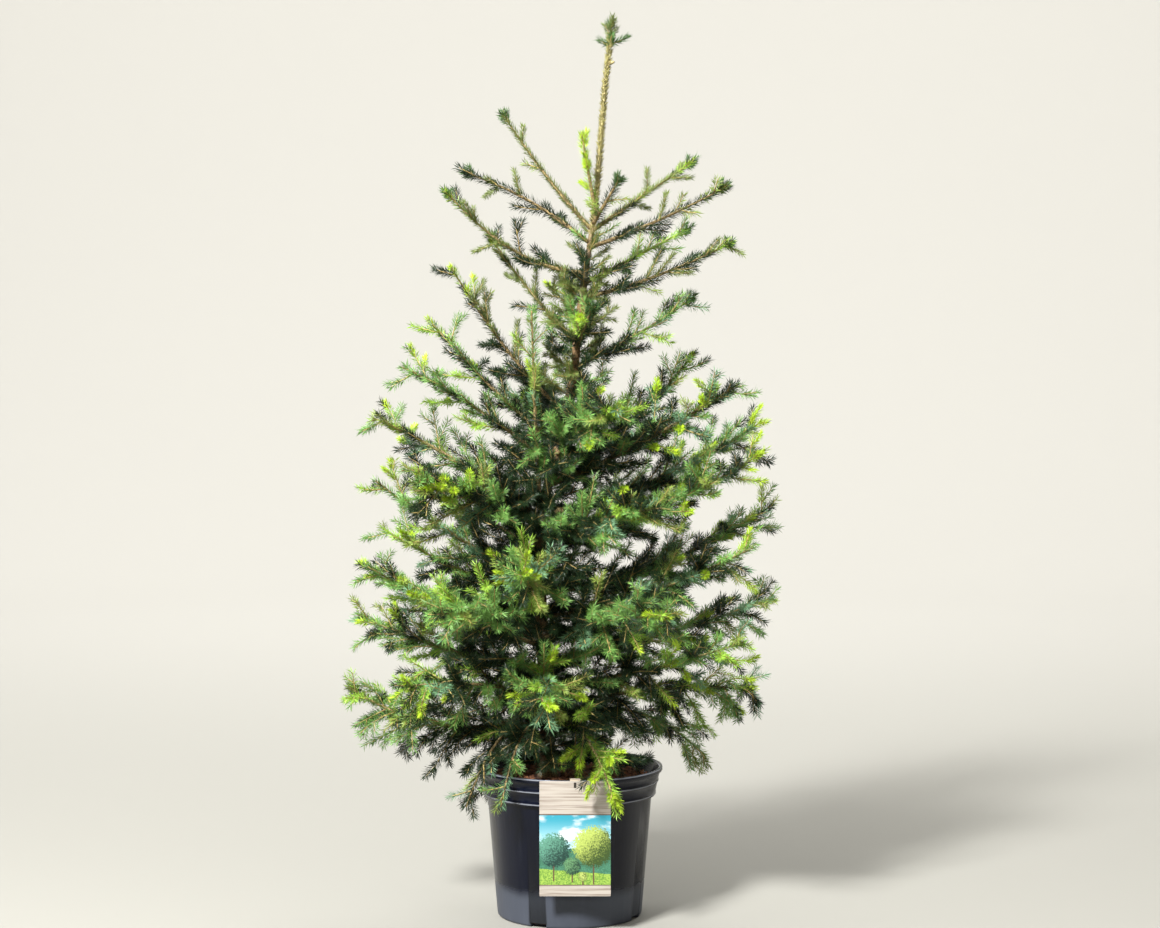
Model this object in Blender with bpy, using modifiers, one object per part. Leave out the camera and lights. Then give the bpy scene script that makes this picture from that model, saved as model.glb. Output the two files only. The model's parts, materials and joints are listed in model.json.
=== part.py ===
# Potted Serbian spruce: a young tree about one metre tall in a black nursery pot,
# with a picture label hung on the rim. Metres, +Z up, the labelled side facing -Y.
# The pot stands on z = 0 with its axis on x = 0, y = 0.
import math
import random
from collections import namedtuple

import bmesh
import bpy
import numpy as np
from mathutils import Matrix, Vector

# Pot
RIM_RADIUS = 0.130
BODY_TOP_RADIUS = 0.1147
BASE_RADIUS = 0.101
POT_HEIGHT = 0.209
BAND_HEIGHT = 0.040
WALL = 0.0022
FLOOR_THICKNESS = 0.0035
FOOT_CHAMFER = 0.003
INNER_CHAMFER = 0.002
BAND_STEP = 0.0045
BAND_SLOPE = 0.007
BAND_EDGE = 0.001
RIB_OUT = 0.0036
RIB_HEIGHT = 0.0130
RIB_SLOPE = 0.0022
LIP_WIDTH = 0.0030
LIP_HEIGHT = 0.0065
LIP_ROUND = 0.0010
POT_STEPS = 28
NOTCH_COUNT = 4
NOTCH_WIDTH = 0.024
NOTCH_HEIGHT = 0.006
NOTCH_DEPTH = 0.012
FIRST_NOTCH_ANGLE = math.radians(-115.0)

# Soil
SOIL_TOP = 0.192
SOIL_SLOPE = 0.010
FIT = 0.0003

# Label
LABEL_WIDTH = 0.096
LABEL_HEIGHT = 0.156
LABEL_THICKNESS = 0.0010
LABEL_OFFSET = 0.008
LABEL_CORNER = 0.004
LABEL_DROP = 0.0005
STRAP_WIDTH = 0.014
STRAP_DROP = 0.009
STRAP_INSET = 0.0055
STRAP_OVERLAP = 0.030

# Trunk: height above the pot's underside, sideways offset, depth offset, radius
TRUNK_STATIONS = (
    (SOIL_TOP + FIT, -0.030, 0.000, 0.0170),
    (0.2000, -0.030, 0.000, 0.0150),
    (0.2130, -0.030, 0.001, 0.0125),
    (0.2400, -0.031, 0.002, 0.0110),
    (0.4300, -0.040, 0.005, 0.0092),
    (0.5260, -0.044, 0.004, 0.0085),
    (0.5800, -0.035, 0.002, 0.0079),
    (0.6600, -0.014, -0.001, 0.0071),
    (0.7520, 0.006, -0.003, 0.0064),
    (0.8440, 0.015, -0.002, 0.0057),
    (0.9750, 0.034, 0.001, 0.0048),
    (1.0200, 0.039, 0.001, 0.0046),
    (1.1530, 0.049, -0.001, 0.0042),
    (1.1900, 0.0535, -0.001, 0.0036),
)
TREE_TOP = 1.2535
TOP_LEAN = 0.006

# Foliage: the teeth of a spray stand for the needles of the shoots it bears, so
# the dense low sprays have wider teeth than the single shoots near the top.
SHOOT_REACH = 0.0098
SPRAY_REACH = 0.0145
SHOOT_SIDE = 0.072
TWIG_CORE = 0.0030
TWIG_ROOT = 0.0024
TWIG_TIP = 0.0012
TOOTH_PITCH = 0.050
ONE_TOOTH = 0.048
STEM_PITCH = 0.062
TUFT_PITCH = 0.021
TOOTH_CREST = 0.72
TOOTH_TWIST = math.radians(24.0)
GOLDEN_TURN = math.radians(137.5)
SAMPLE_STEP = 0.003
SHORTEST_TWIG = 0.026
FIRST_TWIG = 0.08
TWIG_TAPER = 0.55
TIP_LEAD = 0.018
BOUGH_ROOT = 0.0052
BOUGH_TIP = 0.0034
BOUGH_END_STEP = 0.0004
SEARCH_ROUNDS = 10
JOINT_GAP = 0.0005
FACET_SHARE = 0.975
POT_GAP = 0.003
SOIL_INSET = 0.008
LABEL_BACK = 0.012

# Top tuft: azimuth in degrees, length and steepness of each short shoot
TUFT = (
    (0.0, 0.026, 0.25),
    (180.0, 0.016, 0.60),
    (-95.0, 0.016, 0.55),
    (85.0, 0.020, 0.40),
)
TUFT_START = 0.34
TUFT_LIFT = 0.10

# One row per limb. height: where it leaves the trunk. azimuth: degrees round the
# trunk, 0 to the right, -90 to the front. reach and rise: from trunk to tip.
# bow: lift of the middle over the straight line. weep: fall gathered at the tip.
# bare: share of the length that is a bare bough, 0 where foliage starts at the
# trunk. side: longest side twig. twigs: how many. tint: needle colour.
Limb = namedtuple("Limb", "name height azimuth reach rise bow weep bare side twigs tint")
LIMBS = (
    Limb("high_left_shoot", 0.955, 172, 0.129, 0.167, -0.008, 0.0, 0.0, 0.035, 3, "olive"),
    Limb("bright_shoot", 0.985, -130, 0.030, 0.105, 0.0, 0.0, 0.0, 0.042, 3, "fresh"),
    Limb("short_right_shoot", 0.962, -52, 0.064, 0.064, 0.0, 0.0, 0.0, 0.042, 3, "olive"),
    Limb("long_left_shoot", 0.936, 165, 0.186, 0.102, 0.012, 0.0, 0.0, 0.060, 5, "olive"),
    Limb("low_left_shoot", 0.895, 190, 0.199, 0.115, -0.028, 0.0, 0.0, 0.065, 6, "olive"),
    Limb("high_right_shoot", 0.953, 18, 0.154, 0.103, 0.0, 0.0, 0.0, 0.050, 5, "olive"),
    Limb("long_right_shoot", 0.930, -12, 0.199, 0.085, -0.005, 0.0, 0.0, 0.055, 6, "olive"),
    Limb("rear_right_shoot", 0.880, 42, 0.206, 0.085, 0.0, 0.0, 0.0, 0.055, 6, "green"),
    Limb("low_right_shoot", 0.860, -6, 0.213, 0.079, -0.008, 0.0, 0.0, 0.065, 7, "olive"),
    Limb("steep_left_shoot", 0.800, 155, 0.140, 0.155, -0.010, 0.0, 0.0, 0.060, 6, "olive"),
    Limb("front_upper_shoot", 0.790, -75, 0.090, 0.060, 0.0, 0.0, 0.0, 0.055, 6, "green"),
    Limb("rear_upper_shoot", 0.800, 98, 0.130, 0.090, 0.0, 0.0, 0.0, 0.065, 6, "green"),
    Limb("right_upper_shoot", 0.765, 8, 0.172, 0.100, -0.006, 0.0, 0.0, 0.070, 7, "green"),
    Limb("left_forked_limb", 0.700, 188, 0.163, 0.208, -0.016, 0.0, 0.0, 0.085, 7, "olive"),
    Limb("front_leader", 0.550, -104, 0.050, 0.300, -0.030, 0.0, 0.50, 0.060, 7, "green"),
    Limb("left_rising_limb", 0.655, 170, 0.190, 0.182, -0.010, 0.0, 0.0, 0.090, 7, "green"),
    Limb("right_rising_limb", 0.640, 22, 0.215, 0.149, -0.030, 0.0, 0.0, 0.095, 7, "green"),
    Limb("left_broad_limb", 0.628, 186, 0.216, 0.139, 0.010, 0.0, 0.0, 0.100, 7, "green"),
    Limb("right_broad_limb", 0.600, -24, 0.286, 0.145, -0.010, 0.0, 0.28, 0.105, 7, "dark"),
    Limb("front_high_limb", 0.640, -62, 0.190, 0.070, 0.010, 0.0, 0.0, 0.100, 7, "green"),
    Limb("rear_high_limb", 0.640, 100, 0.190, 0.100, 0.005, 0.0, 0.0, 0.100, 7, "dark"),
    Limb("left_far_limb", 0.550, 168, 0.249, 0.145, 0.012, 0.0, 0.28, 0.110, 7, "green"),
    Limb("right_far_limb", 0.560, 12, 0.321, 0.129, -0.020, 0.0, 0.28, 0.115, 8, "dark"),
    Limb("right_mid_limb", 0.520, -16, 0.323, 0.132, -0.020, 0.0, 0.0, 0.110, 8, "dark"),
    Limb("front_left_limb", 0.540, 232, 0.262, 0.075, 0.010, 0.0, 0.0, 0.115, 8, "green"),
    Limb("front_right_limb", 0.515, -50, 0.262, 0.065, 0.010, 0.0, 0.0, 0.115, 8, "green"),
    Limb("rear_left_limb", 0.505, 136, 0.255, 0.080, 0.010, 0.0, 0.0, 0.120, 7, "dark"),
    Limb("rear_right_limb", 0.490, 48, 0.275, 0.080, 0.010, 0.0, 0.0, 0.120, 7, "dark"),
    Limb("left_level_limb", 0.470, 194, 0.236, 0.143, -0.012, 0.0, 0.0, 0.115, 7, "green"),
    Limb("right_level_limb", 0.450, 6, 0.334, 0.124, -0.025, 0.0, 0.26, 0.115, 8, "dark"),
    Limb("front_middle_limb", 0.450, -95, 0.250, 0.045, 0.010, 0.0, 0.0, 0.115, 8, "green"),
    Limb("left_mid_limb", 0.440, 163, 0.244, 0.099, -0.010, 0.0, 0.0, 0.110, 7, "green"),
    Limb("right_lower_limb", 0.415, -22, 0.315, 0.110, -0.015, 0.0, 0.0, 0.110, 8, "dark"),
    Limb("front_left_low_limb", 0.400, 242, 0.285, 0.045, 0.010, 0.0, 0.0, 0.115, 8, "green"),
    Limb("front_right_low_limb", 0.385, -54, 0.290, 0.055, 0.010, 0.0, 0.0, 0.115, 8, "green"),
    Limb("rear_left_low_limb", 0.375, 130, 0.280, 0.040, 0.010, 0.0, 0.0, 0.120, 8, "dark"),
    Limb("rear_right_low_limb", 0.375, 46, 0.295, 0.050, 0.010, 0.0, 0.0, 0.120, 8, "dark"),
    Limb("left_low_limb", 0.375, 196, 0.250, 0.119, -0.010, 0.0, 0.0, 0.110, 7, "green"),
    Limb("right_low_limb", 0.355, 10, 0.335, 0.084, -0.010, 0.0, 0.0, 0.110, 8, "dark"),
    Limb("left_lower_limb", 0.345, 164, 0.284, 0.069, -0.015, 0.0, 0.0, 0.105, 8, "green"),
    Limb("right_foot_limb", 0.320, -20, 0.295, 0.075, -0.010, 0.0, 0.0, 0.105, 8, "green"),
    Limb("front_low_limb", 0.318, -90, 0.225, 0.010, 0.010, 0.0, 0.0, 0.105, 8, "green"),
    Limb("left_foot_limb", 0.305, 214, 0.232, 0.030, 0.010, 0.0, 0.0, 0.105, 8, "green"),
    Limb("left_weeping_limb", 0.285, 184, 0.280, 0.039, -0.040, 0.0, 0.0, 0.105, 8, "green"),
    Limb("right_weeping_limb", 0.290, 4, 0.301, 0.023, 0.010, 0.0, 0.0, 0.105, 8, "green"),
    Limb("rear_weeping_limb", 0.300, 92, 0.268, 0.010, 0.010, 0.03, 0.0, 0.115, 8, "dark"),
    Limb("left_hanging_spray", 0.262, 222, 0.150, 0.010, 0.015, 0.115, 0.0, 0.065, 6, "green"),
    Limb("front_left_spray", 0.258, 246, 0.152, 0.012, 0.018, 0.105, 0.0, 0.060, 6, "dark"),
    Limb("front_hanging_spray", 0.268, -62, 0.205, 0.020, 0.010, 0.110, 0.0, 0.075, 7, "fresh"),
    Limb("right_hanging_spray", 0.262, 30, 0.270, 0.0, 0.025, 0.070, 0.0, 0.080, 7, "green"),
)
LIMB_POINTS = 14

TINTS = {
    "olive": (0.135, 0.170, 0.035, 1.0),
    "green": (0.045, 0.150, 0.035, 1.0),
    "dark": (0.015, 0.070, 0.025, 1.0),
    "fresh": (0.190, 0.330, 0.035, 1.0),
}


def clear_scene():
    for item in list(bpy.data.objects):
        bpy.data.objects.remove(item)


def plain_material(name, colour, roughness):
    material = bpy.data.materials.new(name)
    material.use_nodes = True
    shader = material.node_tree.nodes["Principled BSDF"]
    shader.inputs["Base Color"].default_value = colour
    shader.inputs["Roughness"].default_value = roughness
    return material


def mesh_object(name, mesh, collection):
    item = bpy.data.objects.new(name, mesh)
    collection.objects.link(item)
    return item


def applied(item):
    """Swap the object's mesh for what its modifiers make of it."""
    graph = bpy.context.evaluated_depsgraph_get()
    mesh = bpy.data.meshes.new_from_object(item.evaluated_get(graph))
    item.modifiers.clear()
    item.data = mesh
    return item


def close_seams(mesh, distance=1e-6):
    """Join the doubled vertices of caps and seams and turn all faces outward."""
    work = bmesh.new()
    work.from_mesh(mesh)
    bmesh.ops.remove_doubles(work, verts=work.verts, dist=distance)
    bmesh.ops.recalc_face_normals(work, faces=work.faces)
    work.to_mesh(mesh)
    work.free()


def flatten_faces(mesh):
    """Cut every face into triangles, so that each one is flat."""
    work = bmesh.new()
    work.from_mesh(mesh)
    bmesh.ops.triangulate(work, faces=work.faces)
    work.to_mesh(mesh)
    work.free()


def turned_body(name, profile, collection):
    """A body turned round the Z axis from (radius, height) points at +X."""
    mesh = bpy.data.meshes.new(name)
    points = [(radius, 0.0, height) for radius, height in profile]
    edges = [(i, i + 1) for i in range(len(points) - 1)]
    mesh.from_pydata(points, edges, [])
    item = mesh_object(name, mesh, collection)
    screw = item.modifiers.new("turn", "SCREW")
    screw.axis = "Z"
    screw.steps = POT_STEPS
    screw.render_steps = POT_STEPS
    screw.use_merge_vertices = True
    screw.merge_threshold = 0.00001
    applied(item)
    close_seams(item.data)
    return item


def tube_mesh(points, radii, section=None, tilts=None, resolution=2):
    """A tube along the points: round, or of the section given as a curve object."""
    curve = bpy.data.curves.new("tube", "CURVE")
    curve.dimensions = "3D"
    curve.use_fill_caps = True
    curve.twist_mode = "MINIMUM"
    if section:
        curve.bevel_mode = "OBJECT"
        curve.bevel_object = section
    else:
        curve.bevel_depth = 1.0
        curve.bevel_resolution = resolution
    spline = curve.splines.new("POLY")
    spline.points.add(len(points) - 1)
    for i, place in enumerate(points):
        spline.points[i].co = (place[0], place[1], place[2], 1.0)
        spline.points[i].radius = radii[i]
        spline.points[i].tilt = tilts[i] if tilts else 0.0
    item = bpy.data.objects.new("tube", curve)
    bpy.context.scene.collection.objects.link(item)
    graph = bpy.context.evaluated_depsgraph_get()
    mesh = bpy.data.meshes.new_from_object(item.evaluated_get(graph))
    bpy.data.objects.remove(item)
    bpy.data.curves.remove(curve)
    close_seams(mesh)
    flatten_faces(mesh)
    return mesh


def three_sided_section():
    curve = bpy.data.curves.new("section", "CURVE")
    curve.dimensions = "2D"
    spline = curve.splines.new("POLY")
    spline.points.add(2)
    for i, angle in enumerate((90.0, 210.0, 330.0)):
        turn = math.radians(angle)
        spline.points[i].co = (math.cos(turn), math.sin(turn), 0.0, 1.0)
    spline.use_cyclic_u = True
    item = bpy.data.objects.new("section", curve)
    bpy.context.scene.collection.objects.link(item)
    return item


def box_cutter(name, size, place, turn, collection):
    mesh = bpy.data.meshes.new(name)
    work = bmesh.new()
    bmesh.ops.create_cube(work, size=1.0)
    bmesh.ops.scale(work, vec=size, verts=work.verts)
    work.to_mesh(mesh)
    work.free()
    item = mesh_object(name, mesh, collection)
    item.matrix_world = Matrix.Translation(place) @ Matrix.Rotation(turn, 4, "Z")
    item.hide_render = True
    item.display_type = "WIRE"
    return item


def pot_profile():
    """Shell of the pot from the middle of its inner floor round to the underside."""
    band_foot = POT_HEIGHT - BAND_HEIGHT
    inner_base = BASE_RADIUS - WALL
    inner_top = BODY_TOP_RADIUS - WALL
    band_radius = BODY_TOP_RADIUS + BAND_STEP
    lip_foot = RIM_RADIUS - LIP_WIDTH
    rib_middle = band_foot + RIB_HEIGHT
    return (
        (0.0, FLOOR_THICKNESS),
        (inner_base - INNER_CHAMFER, FLOOR_THICKNESS),
        (inner_top, band_foot + INNER_CHAMFER),
        (band_radius - WALL, band_foot + BAND_SLOPE),
        (lip_foot - WALL, POT_HEIGHT - INNER_CHAMFER),
        (lip_foot, POT_HEIGHT),
        (RIM_RADIUS - LIP_ROUND, POT_HEIGHT),
        (RIM_RADIUS, POT_HEIGHT - LIP_ROUND),
        (RIM_RADIUS, POT_HEIGHT - LIP_HEIGHT / 2),
        (lip_foot, POT_HEIGHT - LIP_HEIGHT),
        (band_radius + RIB_OUT, rib_middle + RIB_SLOPE),
        (band_radius + RIB_OUT, rib_middle),
        (band_radius + RIB_OUT / 3, rib_middle - RIB_SLOPE),
        (band_radius, band_foot + BAND_EDGE),
        (band_radius - BAND_EDGE, band_foot),
        (BODY_TOP_RADIUS, band_foot - BAND_EDGE),
        (BASE_RADIUS, FOOT_CHAMFER),
        (BASE_RADIUS - FOOT_CHAMFER, 0.0),
        (0.0, 0.0),
    )


def make_pot(collection, cutters):
    pot = turned_body("pot", pot_profile(), collection)
    for i in range(NOTCH_COUNT):
        angle = FIRST_NOTCH_ANGLE + i * math.tau / NOTCH_COUNT
        place = Vector((math.cos(angle), math.sin(angle), 0.0)) * BASE_RADIUS
        size = (2 * NOTCH_DEPTH, NOTCH_WIDTH, 2 * NOTCH_HEIGHT)
        box_cutter(f"notch_{i + 1}", size, place, angle, cutters)
    cut = pot.modifiers.new("notches", "BOOLEAN")
    cut.operation = "DIFFERENCE"
    cut.solver = "EXACT"
    cut.operand_type = "COLLECTION"
    cut.collection = cutters
    applied(pot)
    for item in list(cutters.objects):
        bpy.data.objects.remove(item)
    return pot


def make_soil(collection):
    """Bark and soil filling the pot, level where the trunk stands on it."""
    band_foot = POT_HEIGHT - BAND_HEIGHT
    inner_base = BASE_RADIUS - WALL - INNER_CHAMFER
    inner_top = BODY_TOP_RADIUS - WALL
    band_inside = BODY_TOP_RADIUS + BAND_STEP - WALL
    lip_inside = RIM_RADIUS - LIP_WIDTH - WALL
    filled = (SOIL_TOP - band_foot - BAND_SLOPE) / (BAND_HEIGHT - BAND_SLOPE - INNER_CHAMFER)
    brim = band_inside + filled * (lip_inside - band_inside)
    profile = (
        (0.0, SOIL_TOP),
        (brim - SOIL_SLOPE, SOIL_TOP),
        (brim - 3 * FIT, SOIL_TOP - INNER_CHAMFER),
        (band_inside - 2 * FIT, band_foot + BAND_SLOPE),
        (inner_top - 2 * FIT, band_foot + INNER_CHAMFER),
        (inner_base - 2 * FIT, FLOOR_THICKNESS + 3 * FIT),
        (inner_base - 2 * INNER_CHAMFER, FLOOR_THICKNESS + FIT),
        (0.0, FLOOR_THICKNESS + FIT),
    )
    return turned_body("soil", profile, collection)


def make_label(collection):
    """Flat card in front of the rim with a strap bent over the lip."""
    outer = -(RIM_RADIUS + FIT + LABEL_THICKNESS)
    inner = outer + LABEL_THICKNESS
    top = POT_HEIGHT + FIT + LABEL_THICKNESS
    inside = -(RIM_RADIUS - LIP_WIDTH - WALL - STRAP_INSET)
    outline = (
        (outer, top),
        (inside, top),
        (inside, POT_HEIGHT - STRAP_DROP),
        (inside - LABEL_THICKNESS, POT_HEIGHT - STRAP_DROP),
        (inside - LABEL_THICKNESS, top - LABEL_THICKNESS),
        (inner, top - LABEL_THICKNESS),
        (inner, top - STRAP_OVERLAP),
        (outer, top - STRAP_OVERLAP),
    )
    strap = flat_solid("strap", outline, STRAP_WIDTH, collection)
    # The 2D outline lies in X and Y; stand it up across the rim.
    stand = Matrix(((0, 0, 1, LABEL_OFFSET), (1, 0, 0, 0), (0, 1, 0, 0), (0, 0, 0, 1)))
    strap.data.transform(stand)
    card = flat_solid("label", card_outline(), LABEL_THICKNESS, collection)
    middle = (outer + inner) / 2
    upright = Matrix(
        ((1, 0, 0, LABEL_OFFSET), (0, 0, 1, middle), (0, 1, 0, 0), (0, 0, 0, 1))
    )
    card.data.transform(upright)
    join = card.modifiers.new("strap", "BOOLEAN")
    join.operation = "UNION"
    join.solver = "EXACT"
    join.object = strap
    applied(card)
    bpy.data.objects.remove(strap)
    close_seams(card.data)
    return card


def card_outline():
    """The card's outline with its corners cut, in width and height."""
    half = LABEL_WIDTH / 2
    high = POT_HEIGHT - LABEL_DROP
    low = high - LABEL_HEIGHT
    return (
        (-half + LABEL_CORNER, high),
        (-half, high - LABEL_CORNER),
        (-half, low + LABEL_CORNER),
        (-half + LABEL_CORNER, low),
        (half - LABEL_CORNER, low),
        (half, low + LABEL_CORNER),
        (half, high - LABEL_CORNER),
        (half - LABEL_CORNER, high),
    )


def flat_solid(name, outline, thickness, collection):
    """The closed outline filled and given a thickness about its plane."""
    curve = bpy.data.curves.new(name, "CURVE")
    curve.dimensions = "2D"
    curve.fill_mode = "BOTH"
    curve.extrude = thickness / 2
    spline = curve.splines.new("POLY")
    spline.points.add(len(outline) - 1)
    for i, (x, y) in enumerate(outline):
        spline.points[i].co = (x, y, 0.0, 1.0)
    spline.use_cyclic_u = True
    source = bpy.data.objects.new(name + "_curve", curve)
    bpy.context.scene.collection.objects.link(source)
    graph = bpy.context.evaluated_depsgraph_get()
    mesh = bpy.data.meshes.new_from_object(source.evaluated_get(graph))
    bpy.data.objects.remove(source)
    bpy.data.curves.remove(curve)
    close_seams(mesh)
    return mesh_object(name, mesh, collection)


def trunk_at(height):
    """Centre and radius of the trunk at a height."""
    rows = TRUNK_STATIONS
    heights = [row[0] for row in rows]
    x = np.interp(height, heights, [row[1] for row in rows])
    y = np.interp(height, heights, [row[2] for row in rows])
    radius = np.interp(height, heights, [row[3] for row in rows])
    return Vector((x, y, height)), float(radius)


def trunk_room(place, facet_share):
    """Distance from a place to the bark, its flats lying inside the round."""
    room = 9.0
    for low, high in zip(TRUNK_STATIONS, TRUNK_STATIONS[1:]):
        start = Vector((low[1], low[2], low[0]))
        end = Vector((high[1], high[2], high[0]))
        along = end - start
        part = (place - start).dot(along) / along.length_squared
        part = min(max(part, 0.0), 1.0)
        radius = low[3] + (high[3] - low[3]) * part
        gap = (place - start - along * part).length - radius * facet_share
        room = min(room, gap)
    return room


def make_trunk(collection):
    points = [(row[1], row[2], row[0]) for row in TRUNK_STATIONS]
    radii = [row[3] for row in TRUNK_STATIONS]
    return mesh_object("trunk", tube_mesh(points, radii, resolution=4), collection)


def limb_point(limb, share):
    """The limb's centre line, share 0 at the trunk's heart to 1 at the tip."""
    root, _ = trunk_at(limb.height)
    turn = math.radians(limb.azimuth)
    outward = Vector((math.cos(turn), math.sin(turn), 0.0))
    lift = limb.rise * share
    lift += limb.bow * 4.0 * share * (1.0 - share)
    lift -= limb.weep * share ** 2.5
    return root + outward * (limb.reach * share) + Vector((0.0, 0.0, lift))


def limb_line(limb, first=0.0, last=1.0, count=LIMB_POINTS):
    step = (last - first) / (count - 1)
    return [limb_point(limb, first + step * i) for i in range(count)]


def end_gap(limb, share, step, radius, section):
    """Gap from the trunk to the cut end of a limb that starts at that share."""
    place = limb_point(limb, share)
    ahead = limb_point(limb, share + step)
    mesh = tube_mesh([place, ahead], [radius, radius], section)
    ring = [v.co.copy() for v in mesh.vertices if (v.co - place).length < radius * 1.01]
    bpy.data.meshes.remove(mesh)
    spots = [place] + ring
    for i, corner in enumerate(ring):
        spots.extend(corner.lerp(other, 0.5) for other in ring[:i])
    return min(trunk_room(spot, FACET_SHARE) for spot in spots)


def share_at_trunk(limb, step, radius, section=None):
    """Share at which the cut end clears the bark by the fit; step is its first span."""
    low = 0.001
    high = 0.5
    for _ in range(SEARCH_ROUNDS):
        middle = (low + high) / 2
        if end_gap(limb, middle, step, radius, section) < FIT:
            low = middle
        else:
            high = middle
    return high


def share_length(limb):
    line = limb_line(limb, count=40)
    return sum((line[i + 1] - line[i]).length for i in range(len(line) - 1))


def line_samples(line, step=SAMPLE_STEP):
    """Points every few millimetres along a polyline."""
    places = []
    for start, end in zip(line, line[1:]):
        parts = max(1, int((end - start).length / step))
        places.extend(start.lerp(end, i / parts) for i in range(parts))
    places.append(line[-1])
    return places


class OwnSpace:
    """The space of one limb: all that lies nearer to it than to any other limb."""

    def __init__(self, limb, lines):
        own = line_samples(lines[limb.name])
        others = []
        for name, line in lines.items():
            if name != limb.name:
                others.extend(line_samples(line))
        self.own = np.array([tuple(place) for place in own])
        self.others = np.array([tuple(place) for place in others])

    def room(self, place):
        """Radius free round a place before the space of a neighbour begins."""
        spot = np.array(tuple(place))
        near_own = np.sqrt(((self.own - spot) ** 2).sum(axis=1).min())
        near_other = np.sqrt(((self.others - spot) ** 2).sum(axis=1).min())
        free = (near_other - near_own) / 2.0
        return min(free, trunk_room(place, 1.0), pot_room(place)) - FIT


def pot_room(place):
    """Distance kept from the pot, the soil and the label."""
    out = math.hypot(place.x, place.y)
    above_rim = place.z - POT_HEIGHT - POT_GAP
    outside = out - RIM_RADIUS - POT_GAP
    above_soil = place.z - SOIL_TOP
    inside = RIM_RADIUS - SOIL_INSET - out
    return min(max(above_rim, outside, min(above_soil, inside)), label_room(place))


def label_room(place):
    """Distance kept from the card and its strap."""
    beside = abs(place.x - LABEL_OFFSET) - LABEL_WIDTH / 2
    before = -place.y - RIM_RADIUS - 2 * LABEL_THICKNESS
    behind = place.y + RIM_RADIUS - LABEL_BACK
    above = place.z - POT_HEIGHT - POT_GAP
    return max(beside, before, behind, above)


def kept_part(line, space, radius):
    """The line up to where a tube of that radius would leave the limb's space."""
    kept = []
    for place in line_samples(line):
        if space.room(place) < radius:
            break
        kept.append(place)
    return kept


def twig_line(root, heading, length, lift, count=5):
    """A twig that starts along the heading and is lifted or let fall as it goes."""
    step = length / (count - 1)
    line = [root.copy()]
    pointer = heading.copy()
    for _ in range(count - 1):
        pointer = (pointer + Vector((0.0, 0.0, lift))).normalized()
        line.append(line[-1] + pointer * step)
    return line


def side_twigs(limb, stem, seed):
    """Headings and lengths of the twigs that leave a stem turn by turn."""
    draw = random.Random(seed)
    stem_length = share_length(limb)
    rows = []
    for k in range(limb.twigs):
        share = FIRST_TWIG + (1.0 - FIRST_TWIG) * (k + 0.2 + 0.5 * draw.random()) / limb.twigs
        place = share * (len(stem) - 1)
        low = min(int(place), len(stem) - 2)
        root = stem[low].lerp(stem[low + 1], place - low)
        along = (stem[low + 1] - stem[low]).normalized()
        across = along.cross(Vector((0.0, 0.0, 1.0)))
        if across.length < 0.2:
            across = Vector((1.0, 0.0, 0.0))
        across.normalize()
        roll = GOLDEN_TURN * k + math.radians(draw.uniform(-20.0, 20.0))
        outward = Matrix.Rotation(roll, 3, along) @ across
        spread = math.radians(draw.uniform(40.0, 58.0))
        heading = along * math.cos(spread) + outward * math.sin(spread)
        length = limb.side * (1.0 - TWIG_TAPER * share) * draw.uniform(0.85, 1.12)
        length = min(length, (1.0 - share) * stem_length + TIP_LEAD)
        lift = draw.uniform(-0.04, 0.10)
        rows.append((root, heading, length, lift))
    return rows


def toothed_spray(name, line, space, section, collection, first_radius, pitch, reach):
    """A three-sided core whose corners swell into teeth, as needles round a twig."""
    spans = [(line[i + 1] - line[i]).length for i in range(len(line) - 1)]
    total = sum(spans)
    teeth = 1 if total < ONE_TOOTH else max(2, round(total / pitch))
    pitch = total / teeth
    marks = [0.0]
    wanted = [first_radius]
    for k in range(teeth):
        marks.append((k + TOOTH_CREST) * pitch)
        wanted.append(reach)
        marks.append((k + 1.0) * pitch)
        wanted.append(TWIG_CORE)
    wanted[-1] = TWIG_TIP
    distances = np.concatenate(([0.0], np.cumsum(spans)))
    places = []
    for axis in range(3):
        places.append(np.interp(marks, distances, [place[axis] for place in line]))
    points = [Vector(place) for place in zip(*places)]
    radii = []
    for i, place in enumerate(points):
        free = space.room(place)
        radii.append(wanted[i] if i == 0 else max(TWIG_TIP, min(wanted[i], free)))
    tilts = [TOOTH_TWIST * i for i in range(len(points))]
    return mesh_object(name, tube_mesh(points, radii, section, tilts), collection)


def fused(base, pieces, solver):
    """One body from the base and every piece of the collection."""
    join = base.modifiers.new("fuse", "BOOLEAN")
    join.operation = "UNION"
    join.solver = solver
    join.operand_type = "COLLECTION"
    join.collection = pieces
    applied(base)
    for item in list(pieces.objects):
        bpy.data.objects.remove(item)
    return base


def drop_scraps(mesh):
    """Keep the largest piece of a mesh, taking faces as joined only by their edges."""
    work = bmesh.new()
    work.from_mesh(mesh)
    seen = set()
    groups = []
    for start in work.faces:
        if start in seen:
            continue
        group = [start]
        seen.add(start)
        for face in group:
            for edge in face.edges:
                for other in edge.link_faces:
                    if other not in seen:
                        seen.add(other)
                        group.append(other)
        groups.append(group)
    groups.sort(key=len, reverse=True)
    for group in groups[1:]:
        bmesh.ops.delete(work, geom=group, context="FACES")
    work.to_mesh(mesh)
    work.free()


def make_bough(limb, collection):
    first = share_at_trunk(limb, limb.bare / 3, BOUGH_ROOT)
    line = limb_line(limb, first, limb.bare, 4)
    radii = np.linspace(BOUGH_ROOT, BOUGH_TIP, len(line))
    return mesh_object(limb.name + "_bough", tube_mesh(line, radii), collection)


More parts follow.
